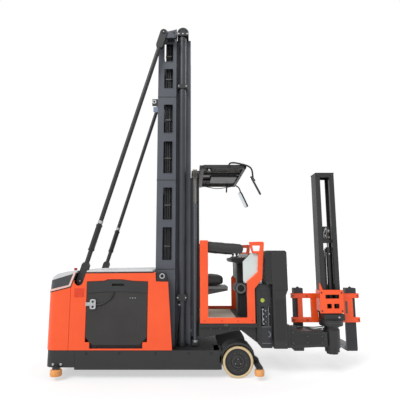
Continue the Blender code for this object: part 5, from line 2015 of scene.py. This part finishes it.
    def _barriers(self) -> None:
        """Padded barriers beside the driver."""
        for name, way in SIDES:
            start, end = Vector((0.000, way * 0.559, 1.594)), Vector((0.388, way * 0.559, 1.562))
            piece = self.piece(f"barrier_pad_{name}", "pad_vinyl")
            piece.add(sleeve(start, end, (0.064, 0.024), 5, 0.006))
            piece.done(f"barrier_{name}", angle=80.0)
            pin = self.piece(f"barrier_pin_{name}", "zinc")
            pin.add(rod((-0.03, way * 0.553, 1.625), (-0.03, way * 0.5848, 1.625), 0.012))
            pin.done(f"barrier_{name}", replaces=False)

    def _guard(self) -> None:
        """Overhead guard with its bars, sheet, lamp and rods."""
        low, high = self.guard_x
        z, half = self.guard_z, self.guard_half
        piece = self.piece("guard_steel", "black_paint", "beam_paint", "lamp_lens", "dark_steel")
        piece.add(box((low, low + 0.06), (-half, half), (z - 0.03, z + 0.02), 0.006))
        for y in (-half + 0.02, -0.23, 0.23, half - 0.02):
            piece.add(box((low + 0.02, high), (y - 0.02, y + 0.02), (z - 0.02, z + 0.02), 0.006))
        piece.add(box((high - 0.04, high), (-half, half), (z - 0.02, z + 0.02), 0.006))
        for at in range(self.roof_bars):
            y = self.roof_bar_half * (2 * at / (self.roof_bars - 1) - 1)
            piece.add(rod((low + 0.03, y, z - 0.004), (high - 0.02, y, z - 0.004), 0.007), 3)
        for _, way in SIDES:
            piece.add(box((-0.215, -0.08), across(way, (0.285, 0.395)), (2.6003, z + 0.01), 0.004))
        piece.add(box((0.057, 0.428), (-0.22, 0.22), (z - 0.045, z - 0.014), 0.006), 1)
        piece.add(box((-0.020, 0.044), (-0.645, -0.585), (z - 0.052, z - 0.018), 0.008))
        piece.add(rod((0.012, -0.648, z - 0.035), (0.012, -0.642, z - 0.035), 0.013), 2)
        for _, way in SIDES:
            piece.add(tube(
                [(0.02, way * 0.60, z - 0.030), (0.20, way * 0.60, z - 0.060), (0.42, way * 0.60, z - 0.030)],
                0.006,
            ), 3)
        piece.add(tube([(0.358, 0.60, z - 0.01), (0.352, 0.60, 2.56), (0.348, 0.60, 2.505)], 0.012))
        piece.done("guard_frame")
        cover = self.piece("guard_cover", "guard_sheet")
        cover.add(box((low + 0.05, high), (-half, half), (z + 0.0203, z + 0.026), 0.002))
        cover.done("guard_sheet")

    def _mirrors(self) -> None:
        """Mirrors on bent arms."""
        for name, way in SIDES:
            centre = Vector((0.622, way * 0.620, 2.387))
            y = way * 0.6863
            piece = self.piece(f"mirror_set_{name}", "soft_black", "mirror_glass")
            route = [
                (0.270, y, 2.615), (0.283, y, 2.672), (0.383, y, 2.672), (0.550, y, 2.613),
                (centre.x - 0.030, centre.y, centre.z + 0.090),
            ]
            piece.add(tube(route, 0.011))
            turn = Matrix.Rotation(way * math.radians(self.mirror_turn), 4, "Z")
            lean = Matrix.Rotation(-math.radians(self.mirror_lean), 4, "Y")
            pose = Matrix.Translation(centre) @ turn @ lean
            case = plate(Axis.X, rounded((-0.0625, 0.0625), (-0.133, 0.133), 0.028), (-0.011, 0.014), 0.007)
            glass = plate(Axis.X, rounded((-0.055, 0.055), (-0.125, 0.125), 0.022), (-0.0145, -0.009), 0.001)
            for shape, finish in ((case, 0), (glass, 1)):
                bmesh.ops.transform(shape, matrix=pose, verts=shape.verts)
                piece.add(shape, finish)
            piece.add(rod(centre + Vector((-0.036, 0, 0.092)), centre + Vector((-0.012, 0, 0.060)), 0.018))
            piece.done(f"mirror_{name}")


@dataclass
class Beam(Builder):
    """Cross beam that the fork head travels on, with the mechanism in its open end."""

    x: Range = (0.602, 0.754)
    z: Range = (0.334, 1.120)
    half: float = 0.578
    end_x: float = 0.789

    def build(self) -> None:
        """Make the beam and both of its ends."""
        back, front = self.x
        low, high = self.z
        piece = self.piece("traverse_box", "beam_paint", "black_paint")
        plan = [
            (back, 0.395), (back + 0.055, low), (self.end_x, low), (self.end_x, high - 0.012),
            (back, high - 0.012),
        ]
        inside = rounded((0.657, 0.781), (0.600, 0.835), 0.010)
        for _, way in SIDES:
            piece.add(plate(Axis.Y, plan, across(way, (self.half - 0.014, self.half)), 0.003, [inside]))
        core = [
            (back + 0.002, 0.397), (back + 0.056, low + 0.002), (0.700, low + 0.002), (0.700, high - 0.002),
            (back + 0.002, high - 0.002),
        ]
        piece.add(plate(Axis.Y, core, (-self.half + 0.055, self.half - 0.055), 0.002))
        for _, way in SIDES:
            for limits in ((low + 0.002, 0.595), (0.840, high - 0.002)):
                piece.add(box(
                    (back + 0.058, front - 0.058), across(way, (self.half - 0.056, self.half - 0.012)), limits
                ), 1)
        for limits in ((low, 0.42), (0.52, 0.94), (1.04, high)):
            piece.add(box((0.698, front), (-self.half + 0.012, self.half - 0.012), limits, 0.003))
        piece.done("traverse_beam")
        for name, way in SIDES:
            self._end(name, way)

    def _end(self, name: str, way: int) -> None:
        """Mechanism, hoses and bolts in one end of the beam.

        Args:
            name: Side of the truck.
            way: Side as the sign of y.
        """
        face = self.half
        works = self.piece(
            f"beam_works_{name}", "bright_steel", "zinc", "hose_rubber", "signal_green", "grey_paint",
            "black_paint",
        )
        deep = face - 0.030
        for x, z, radius in (
            (0.683, 0.800, 0.013), (0.716, 0.785, 0.016), (0.690, 0.745, 0.012), (0.725, 0.712, 0.014),
            (0.688, 0.678, 0.015), (0.718, 0.650, 0.011), (0.690, 0.625, 0.012), (0.758, 0.745, 0.013),
            (0.752, 0.690, 0.010),
        ):
            works.add(rod((x, way * (deep - 0.02), z), (x, way * (deep + 0.012), z), radius, sides=18))
            works.add(
                rod((x, way * (deep + 0.010), z), (x, way * (deep + 0.022), z), radius * 0.55, sides=6), 1
            )
        works.add(box((0.676, 0.684), across(way, (deep, deep + 0.012)), (0.640, 0.800), 0.002))
        works.add(box((0.704, 0.711), across(way, (deep - 0.004, deep + 0.010)), (0.620, 0.790), 0.002), 1)
        works.add(tube(
            [(0.672, way * deep, 0.81), (0.700, way * (deep + 0.016), 0.760), (0.735, way * deep, 0.735)],
            0.005,
        ), 2)
        works.add(tube(
            [(0.672, way * deep, 0.700), (0.705, way * (deep + 0.016), 0.690), (0.738, way * deep, 0.640)],
            0.005,
        ), 2)
        works.add(rod((0.679, way * (face - 0.001), 0.914), (0.679, way * (face + 0.003), 0.914), 0.026), 3)
        for z in (0.590, 0.392):
            works.add(box(
                (0.662, 0.775), across(way, (face - 0.001, face + 0.002)), (z - 0.003, z + 0.003), 0.001
            ), 4)
        works.add(box((0.622, 0.654), across(way, (face - 0.001, face + 0.006)), (0.43, 1.06), 0.003), 5)
        works.add(box((0.664, 0.780), across(way, (face - 0.001, face + 0.005)), (0.965, 1.035), 0.004), 5)
        slot = arc((0.735, 0.500), 0.040, -80, 80, 10) + arc((0.735, 0.500), 0.028, 80, -80, 10)
        works.add(plate(Axis.Y, slot, across(way, (face - 0.001, face + 0.005)), 0.001), 4)
        works.done("traverse_beam", replaces=False)
        spots = [(x, way * (face + 0.0003), z) for x in (0.615, 0.772) for z in (0.44, 0.86, 1.08)]
        self.copies(
            f"beam_bolts_{name}", "bolt", facing((0, way, 0), *spots), "soft_black", "traverse_beam", 0.020
        )


@dataclass
class Head(Builder):
    """Tower on the cross beam, the arm and the pivot housing."""

    y: float = -0.50
    tower_half: float = 0.155
    neck: float = 0.965
    front: float = 0.993
    top: float = 1.54
    arm_half: float = 0.115
    pivot: Pair = (1.56, 0.089)

    def build(self) -> None:
        """Make the tower, the arm and the housing."""
        self._tower()
        self._arm()

    def _tower(self) -> None:
        """Tall cover of the head."""
        low, high = self.y - self.tower_half, self.y + self.tower_half
        piece = self.piece("tower_cover", "black_paint", "soft_black", "void_black")
        outline = [
            (0.713, 1.1203), (0.796, 1.1203), (0.796, 0.341), (self.neck, 0.341), (self.neck, 0.985),
            (self.front, 1.050), (self.front - 0.004, self.top - 0.02), (self.front - 0.022, self.top),
            (0.733, self.top), (0.713, self.top - 0.02),
        ]
        piece.add(plate(Axis.Y, outline, (low, high), 0.008))
        for z in ((0.426, 0.514), (0.946, 1.034)):
            piece.add(box((0.706, 0.81), (self.y - 0.05, self.y + 0.05), z))
        piece.add(box((0.727, 0.779), (low - 0.004, low + 0.01), (1.150, 1.510), 0.004), 1)
        piece.add(box((0.784, 0.789), (low - 0.0012, low + 0.01), (1.135, 1.525), 0.0005), 2)
        piece.add(box((0.795, self.front - 0.012), (low - 0.0012, low + 0.01), (1.046, 1.050), 0.0005), 2)
        piece.add(box((0.826, 0.945), (low - 0.003, low + 0.01), (0.44, 0.93), 0.004), 1)
        piece.done("head_tower")
        spots = (
            [(x, low - 0.0008, z) for x in (0.826, 0.940) for z in (0.40, 0.965)]
            + [(x, low - 0.0008, 1.495) for x in (0.82, 0.95)]
        )
        self.copies(
            "tower_bolts", "socket_screw", facing((0, -1, 0), *spots), "dark_steel", "head_tower", 0.018
        )

    def _arm(self) -> None:
        """Arm under the turntable with the pivot housing and its hoses."""
        low, high = self.y - self.arm_half, self.y + self.arm_half
        x, radius = self.pivot
        piece = self.piece("arm_casting", "black_paint", "soft_black")
        outline = [
            (self.neck + 0.0003, 0.341), (1.175, 0.345), (1.345, 0.353), (1.470, 0.353), (1.470, 0.535),
            (1.136, 0.547), (self.neck + 0.0003, 0.626),
        ]
        piece.add(plate(Axis.Y, outline, (low, high), 0.008))
        foot = [(1.000, 0.360), (1.066, 0.313), (1.167, 0.313), (1.183, 0.360)]
        piece.add(plate(Axis.Y, foot, (self.y - 0.06, self.y + 0.06), 0.004))
        rib = [(1.010, 0.580), (1.135, 0.510), (1.430, 0.500), (1.430, 0.390), (1.010, 0.380)]
        piece.add(plate(Axis.Y, rib, (low - 0.003, low + 0.01), 0.003), 1)
        piece.done("head_arm")
        housing = self.piece("pivot_body", "black_paint", "dark_steel", "hose_rubber")
        profile = [
            (0.0, radius), (0.047, radius), (0.047, radius + 0.012), (0.267, radius + 0.012), (0.267, radius),
            (0.311, radius), (0.311, 0.0558), (0.0, 0.0558),
        ]
        housing.add(turned((x, self.y, 0.283), (x, self.y, 1.0), profile, 48))
        housing.add(ring((x, self.y, 0.552), (x, self.y, 0.560), 0.0895, 0.096), 1)
        for shift, level in ((-0.020, 0.60), (0.0, 0.64), (0.020, 0.62)):
            run = [
                (1.02, low + 0.02, level - 0.03), (1.14, low - 0.010 + shift * 0.2, 0.600),
                (1.30, low - 0.014, 0.575 + shift), (1.42, low - 0.010, 0.585 + shift),
            ]
            housing.add(tube(run, 0.007), 2)
        housing.done("pivot_housing")
        self.copies(
            "pivot_bolts", "bolt", circle_spots((x, self.y, 0.2829), (0, 0, -1), 0.077, 10), "dark_steel",
            "pivot_housing", 0.016,
        )
        spots = [
            (a, low - 0.0035, b)
            for a, b in ((1.04, 0.40), (1.04, 0.53), (1.22, 0.41), (1.22, 0.485), (1.40, 0.41), (1.40, 0.485))
        ]
        self.copies("arm_bolts", "bolt", facing((0, -1, 0), *spots), "dark_steel", "head_arm", 0.020)


@dataclass
class Turret(Builder):
    """Turntable, auxiliary mast, bracket and the lift cylinder inside."""

    pivot: Pair = (1.56, -0.50)
    mast_x: Range = (1.441, 1.684)
    mast_y: Range = (-0.55, -0.35)
    mast_z: Range = (0.7453, 2.577)
    wall: float = 0.014
    slot_x: Range = (1.499, 1.623)
    slot_top: float = 2.515
    mouth_x: Range = (1.495, 1.625)
    face_y: float = -0.600
    bracket_x: Range = (1.404, 1.702)
    cylinder: Pair = (1.585, -0.475)

    def build(self) -> None:
        """Make every piece of the turret."""
        self._table()
        self._mast()
        self._bracket()
        self._cylinder()

    def _table(self) -> None:
        """Turntable on its shaft."""
        x, y = self.pivot
        piece = self.piece("swivel_table", "black_paint", "dark_steel", "zinc")
        profile = [
            (0.0, 0.070), (0.022, 0.070), (0.022, 0.055), (0.345, 0.055), (0.345, 0.141), (0.351, 0.147),
            (0.412, 0.147), (0.418, 0.141),
        ]
        piece.add(turned((x, y, 0.255), (x, y, 2.0), profile, 48))
        piece.add(ring((x, y, 0.640), (x, y, 0.646), 0.1465, 0.149, 64), 1)
        piece.add(box((1.45, 1.715), (-0.585, -0.36), (0.665, 0.745), 0.008))
        piece.add(rod((1.640, -0.586, 0.705), (1.640, -0.592, 0.705), 0.012), 2)
        piece.done("turntable")
        self.copies(
            "table_bolts", "bolt", circle_spots((x, y, 0.600), (0, 0, -1), 0.122, 12), "dark_steel",
            "turntable", 0.018,
        )

    def _mast(self) -> None:
        """Auxiliary mast with open slots in front and behind."""
        left, right = self.mast_x
        low_y, high_y = self.mast_y
        low, high = self.mast_z
        piece = self.piece("aux_rails", "black_paint", "dark_steel")
        face = [(left, low), (right, low), (right, high), (left, high)]
        slot = rounded(self.slot_x, (0.80, self.slot_top), 0.010)
        near, far = self.mouth_x
        top = self.slot_top
        back = [
            (left, low), (near, low), (near, top), (far, top), (far, low), (right, low), (right, high),
            (left, high),
        ]
        piece.add(plate(Axis.Y, face, (low_y, low_y + self.wall), 0.003, [slot]))
        piece.add(plate(Axis.Y, back, (high_y - self.wall, high_y), 0.003))
        for x in ((left, left + self.wall), (right - self.wall, right)):
            piece.add(box(x, (low_y + 0.002, high_y - 0.002), (low, high), 0.003))
        for x in (self.slot_x[0] - 0.012, self.slot_x[1] + 0.002):
            piece.add(box((x, x + 0.010), (low_y + 0.004, low_y + 0.060), (0.80, 2.52)), 1)
        piece.add(
            box((left - 0.004, right + 0.004), (low_y - 0.004, high_y + 0.004), (high - 0.012, high), 0.004)
        )
        piece.done("aux_mast")
        self.copies(
            "aux_top_bolts", "bolt",
            facing((0, -1, 0), *[(x, low_y - 0.0045, 2.545) for x in (left + 0.03, right - 0.03)]),
            "dark_steel", "aux_mast", 0.022,
        )

    def _bracket(self) -> None:
        """Orange bracket over the lower end of the mast."""
        left, right = self.bracket_x
        piece = self.piece("bracket_plate", "orange_paint", "soft_black")
        face = [
            (left, 0.757), (right, 0.757), (right, 1.045), (left + 0.040, 1.045), (left + 0.010, 1.130),
            (left, 1.130),
        ]
        holes = [
            rounded((1.474, 1.649), (0.937, 0.986), 0.008), rounded((1.490, 1.550), (0.815, 0.874), 0.008),
            rounded((1.579, 1.645), (0.815, 0.874), 0.008),
        ]
        piece.add(plate(Axis.Y, face, (self.face_y, self.mast_y[0] - 0.030), 0.004, holes))
        piece.add(box(
            (left, self.mast_x[0] - 0.0003), (self.face_y + 0.01, self.face_y + 0.17), (0.780, 1.040), 0.004
        ))
        piece.add(box(
            (self.mast_x[1] + 0.0003, right), (self.face_y + 0.01, self.face_y + 0.17), (0.780, 1.020), 0.004
        ))
        piece.add(box(
            (left + 0.03, right - 0.03), (self.mast_y[0] - 0.034, self.mast_y[0] - 0.0003), (0.760, 0.812),
            0.003,
        ))
        piece.done("mast_bracket")
        spots = [(x, self.face_y + 0.0003, z) for x in (left + 0.022, right - 0.022) for z in (0.785, 1.010)]
        self.copies("bracket_bolts", "bolt", facing((0, -1, 0), *spots), "soft_black", "mast_bracket", 0.018)

    def _cylinder(self) -> None:
        """Auxiliary lift cylinder, its crosshead with chain wheels, and its hoses."""
        x, y = self.cylinder
        barrel = self.piece("aux_barrel", "black_paint", "zinc", "hose_rubber")
        profile = [
            (0.0, 0.030), (0.760, 0.030), (0.760, 0.032), (0.826, 0.032), (0.826, 0.0164), (0.80, 0.0164)
        ]
        barrel.add(turned((x, y, 0.7603), (x, y, 2.0), profile, 32))
        barrel.add(rod((x, y - 0.034, 1.500), (x, y - 0.028, 1.500), 0.010, sides=6), 1)
        for at, (start, bend) in enumerate(((1.512, 0.004), (1.534, -0.004))):
            barrel.add(tube(
                [(start, -0.500, 0.80), (start + bend, -0.505, 1.2), (start, -0.500, 1.55 + 0.02 * at)], 0.009
            ), 2)
        barrel.done("aux_cylinder")
        head = self.piece("aux_crosshead", "black_paint", "bright_steel", "zinc", "chain_steel")
        head.add(rod((x, y, 0.86), (x, y, 1.66), 0.0158), 1)
        head.add(box((1.508, 1.618), (-0.499, -0.451), (1.640, 1.690), 0.006))
        head.add(box((1.520, 1.606), (-0.495, -0.455), (1.685, 1.860), 0.006))
        for a, z, reach in (
            (1.545, 1.735, 0.022), (1.585, 1.800, 0.026), (1.590, 1.715, 0.016), (1.540, 1.810, 0.014)
        ):
            head.add(turned(
                (a, -0.512, z), (a, 1.0, z),
                [
                    (0.0, reach - 0.005), (0.003, reach), (0.006, reach - 0.004), (0.012, reach - 0.004),
                    (0.015, reach),
                ],
                24,
            ), 3)
            head.add(rod((a, -0.517, z), (a, -0.505, z), reach * 0.4, sides=6), 2)
        head.add(box((1.556, 1.562), (-0.510, -0.494), (1.700, 1.850), 0.002), 1)
        head.add(tube([(1.530, -0.500, 1.70), (1.520, -0.512, 1.76), (1.560, -0.508, 1.84)], 0.005), 1)
        head.done("aux_rod")


@dataclass
class Carriage(Builder):
    """Fork carriage with its posts, pins and forks."""

    bar_x: Range = (1.105, 2.008)
    bar_y: Range = (-0.342, -0.297)
    upper: Range = (0.916, 0.981)
    lower: Range = (0.605, 0.672)
    posts: tuple[Range, ...] = ((1.191, 1.256), (1.366, 1.459), (1.506, 1.614), (1.804, 1.922))
    thick: float = 0.045
    bottom: float = 0.231
    tip: float = 0.795
    taper: float = 0.20
    hook: float = 1.050
    forks: tuple[tuple[str, float, float], ...] = (("right", 1.137, 1.264), ("left", 1.832, 1.970))

    def build(self) -> None:
        """Make the carriage and both forks."""
        piece = self.piece("carriage_frame", "orange_paint", "dark_steel")
        for limits in (self.upper, self.lower):
            piece.add(box(self.bar_x, self.bar_y, limits, 0.005))
        post_y = (self.bar_y[0] + 0.004, self.bar_y[1] - 0.004)
        for limits in self.posts:
            height = (self.lower[0] + 0.01, self.upper[1] - 0.01)
            piece.add(box(limits, post_y, height, 0.003))
        piece.add(
            box((1.822, 1.850), (self.bar_y[0] + 0.001, self.bar_y[0] + 0.02), (0.721, 0.880), 0.004), 1
        )
        piece.add(box(self.posts[2], (-0.425, self.bar_y[0] + 0.02), (0.80, 1.10), 0.004))
        for z in (0.85, 1.05):
            piece.add(rod((1.4555, -0.40, z), (1.6697, -0.40, z), 0.030), 1)
        piece.done("fork_carriage")
        spots = [(x, self.bar_y[0] - 0.0003, z) for x in (1.130, 1.310, 1.690, 1.985) for z in (0.948, 0.638)]
        self.copies(
            "carriage_bolts", "socket_screw", facing((0, -1, 0), *spots), "dark_steel", "fork_carriage", 0.020
        )
        self._forks()

    def _forks(self) -> None:
        """Forks with their hooks and locking pins, and a painted highlight strip on the left fork."""
        back = self.bar_y[1] + 0.0003
        for name, low, high in self.forks:
            profile = [
                (self.bar_y[0] - 0.004, self.hook), (self.bar_y[0] - 0.004, self.upper[1] + 0.0003),
                (back, self.upper[1] + 0.0003), (back, self.bottom + 0.02), (back + 0.02, self.bottom),
                (self.taper, self.bottom), (self.tip, self.bottom + 0.012), (self.tip, self.bottom + 0.026),
                (self.taper, self.bottom + self.thick), (back + self.thick + 0.03, self.bottom + self.thick),
                (back + self.thick, self.bottom + self.thick + 0.03), (back + self.thick, self.hook),
            ]
            piece = self.piece(f"fork_arm_{name}", "fork_steel", "zinc", "blue_steel")
            piece.add(plate(Axis.X, profile, (low, high), 0.004))
            middle = (low + high) / 2
            piece.add(rod((middle, -0.315, 1.049), (middle, -0.315, 1.062), 0.020, sides=6))
            piece.add(rod((middle, -0.315, 1.058), (middle, -0.315, 1.072), 0.009), 1)
            # The pale bluish strip on the left fork's inner side is a painted highlight where that face of
            # the blade catches the light.
            if name == "left":
                piece.add(box((low - 0.0012, low + 0.002), (-0.20, 0.70), (0.247, 0.270), 0.0006), 2)
            piece.done(f"fork_{name}")


@dataclass
class Wheels(Builder):
    """Load wheels, guide rollers and the steered drive wheel."""

    load: Pair = LOAD_WHEEL
    load_y: Range = (0.505, 0.665)
    tread: float = 0.032
    drive_x: float = -1.77
    drive_radius: float = 0.16

    def build(self) -> None:
        """Make every wheel."""
        for name, way in SIDES:
            self._load_wheel(name, way)
            for place, x, y, radius, low, high in GUIDES:
                self._guide(f"{place}_{name}", x, way * y, radius, (low, high))
        self._drive()

    def _load_wheel(self, name: str, way: int) -> None:
        """Load wheel with its tread and stepped hub.

        Args:
            name: Side of the truck.
            way: Side as the sign of y.
        """
        x, z = self.load
        inner, outer = self.load_y
        wide = outer - inner
        start, end = (x, way * inner, z), (x, way * outer, z)
        rim = z - self.tread
        tyre = self.piece(f"tread_{name}", "cream_tread")
        tyre.add(turned(
            start, end,
            [
                (0.003, rim), (0.0, rim + 0.004), (0.0, z - 0.014), (0.004, z - 0.005), (0.014, z),
                (wide - 0.014, z), (wide - 0.004, z - 0.005), (wide, z - 0.014), (wide, rim + 0.004),
                (wide - 0.003, rim),
            ],
            96, True,
        ))
        tyre.done(f"load_tyre_{name}")
        hub = self.piece(f"hub_{name}", "black_paint", "soft_black", "dark_steel")
        rim -= 0.0003
        deep = wide - 0.006
        hub.add(turned(
            start, end,
            [
                (0.006, 0.036), (0.006, rim), (deep, rim), (deep, rim - 0.012), (deep - 0.010, rim - 0.018),
                (deep - 0.014, 0.085), (deep - 0.006, 0.078), (deep - 0.006, 0.036),
            ],
            64, True,
        ))
        hub.add(turned(
            start, end,
            [(deep - 0.008, 0.054), (deep - 0.001, 0.054), (deep + 0.003, 0.048), (deep + 0.004, 0.020)], 40,
        ), 1)
        hub.add(
            ring((x, way * (inner + deep - 0.0075), z), (x, way * (inner + deep - 0.004), z), 0.060, 0.068), 2
        )
        hub.done(f"load_hub_{name}")
        aim = (0, way, 0)
        self.copies(
            f"hub_bolts_{name}", "bolt",
            circle_spots((x, way * (inner + deep - 0.0135), z), aim, 0.108, 8, 22.5), "dark_steel",
            f"load_hub_{name}", 0.017,
        )
        self.copies(
            f"cap_screws_{name}", "socket_screw",
            circle_spots((x, way * (inner + deep + 0.0025), z), aim, 0.036, 3, 90), "zinc",
            f"load_hub_{name}", 0.011,
        )

    def _guide(self, name: str, x: float, y: float, radius: float, z: Range) -> None:
        """Guide roller with rounded shoulders and a bearing cap.

        Args:
            name: Place of the roller.
            x: Its axis along X.
            y: Its axis along Y.
            radius: Its radius.
            z: Its bottom and top.
        """
        low, high = z
        tall = high - low
        piece = self.piece(f"roller_{name}", "roller_urethane", "zinc")
        piece.add(turned(
            (x, y, low), (x, y, high),
            [
                (0.0, 0.0145), (0.0, radius - 0.012), (0.003, radius - 0.004), (0.010, radius),
                (tall - 0.010, radius), (tall - 0.003, radius - 0.004), (tall, radius - 0.012),
                (tall, 0.0145),
            ],
            56, True,
        ))
        piece.add(ring((x, y, low - 0.003), (x, y, low + 0.002), 0.0135, 0.030), 1)
        piece.add(ring((x, y, high - 0.002), (x, y, high + 0.003), 0.0135, 0.030), 1)
        piece.done(f"guide_roller_{name}")

    def _drive(self) -> None:
        """Drive wheel and the fork that steers it."""
        x, radius = self.drive_x, self.drive_radius
        wheel = self.piece("drive_tyre", "black_rubber", "grey_paint", "zinc")
        wheel.add(turned(
            (x, -0.060, radius), (x, 0.060, radius),
            [
                (0.0, 0.110), (0.0, radius - 0.010), (0.008, radius), (0.112, radius),
                (0.120, radius - 0.010), (0.120, 0.110),
            ],
            72, True,
        ))
        wheel.add(turned(
            (x, -0.060, radius), (x, 0.060, radius),
            [(0.004, 0.026), (0.004, 0.111), (0.116, 0.111), (0.116, 0.026)], 48,
        ), 1)
        wheel.done("drive_wheel")
        self.copies(
            "drive_nuts", "bolt", circle_spots((x, 0.0565, radius), (0, 1, 0), 0.066, 6), "zinc",
            "drive_wheel", 0.020,
        )


def repaint(node: str, finish: Material) -> None:
    """Give a CAD node that keeps its own mesh a finish.

    Args:
        node: Name of the node.
        finish: The material.
    """
    materials = frame["nodes"][node].data.materials
    materials.clear()
    materials.append(finish)


def main() -> None:
    """Build the studio and dress the truck."""
    logging.basicConfig(level=logging.INFO, format="%(message)s")
    Studio().build()
    finishes = Finishes()
    repaint("drive_fork", finishes["grey_paint"])
    repeater = Repeater()
    for assembly in (Chassis, Struts, Mast, FreeLift, Cab, Beam, Head, Turret, Carriage, Wheels):
        log.info("building %s", assembly.__name__)
        assembly(finishes, repeater).build()


if __name__ == "__main__":
    main()
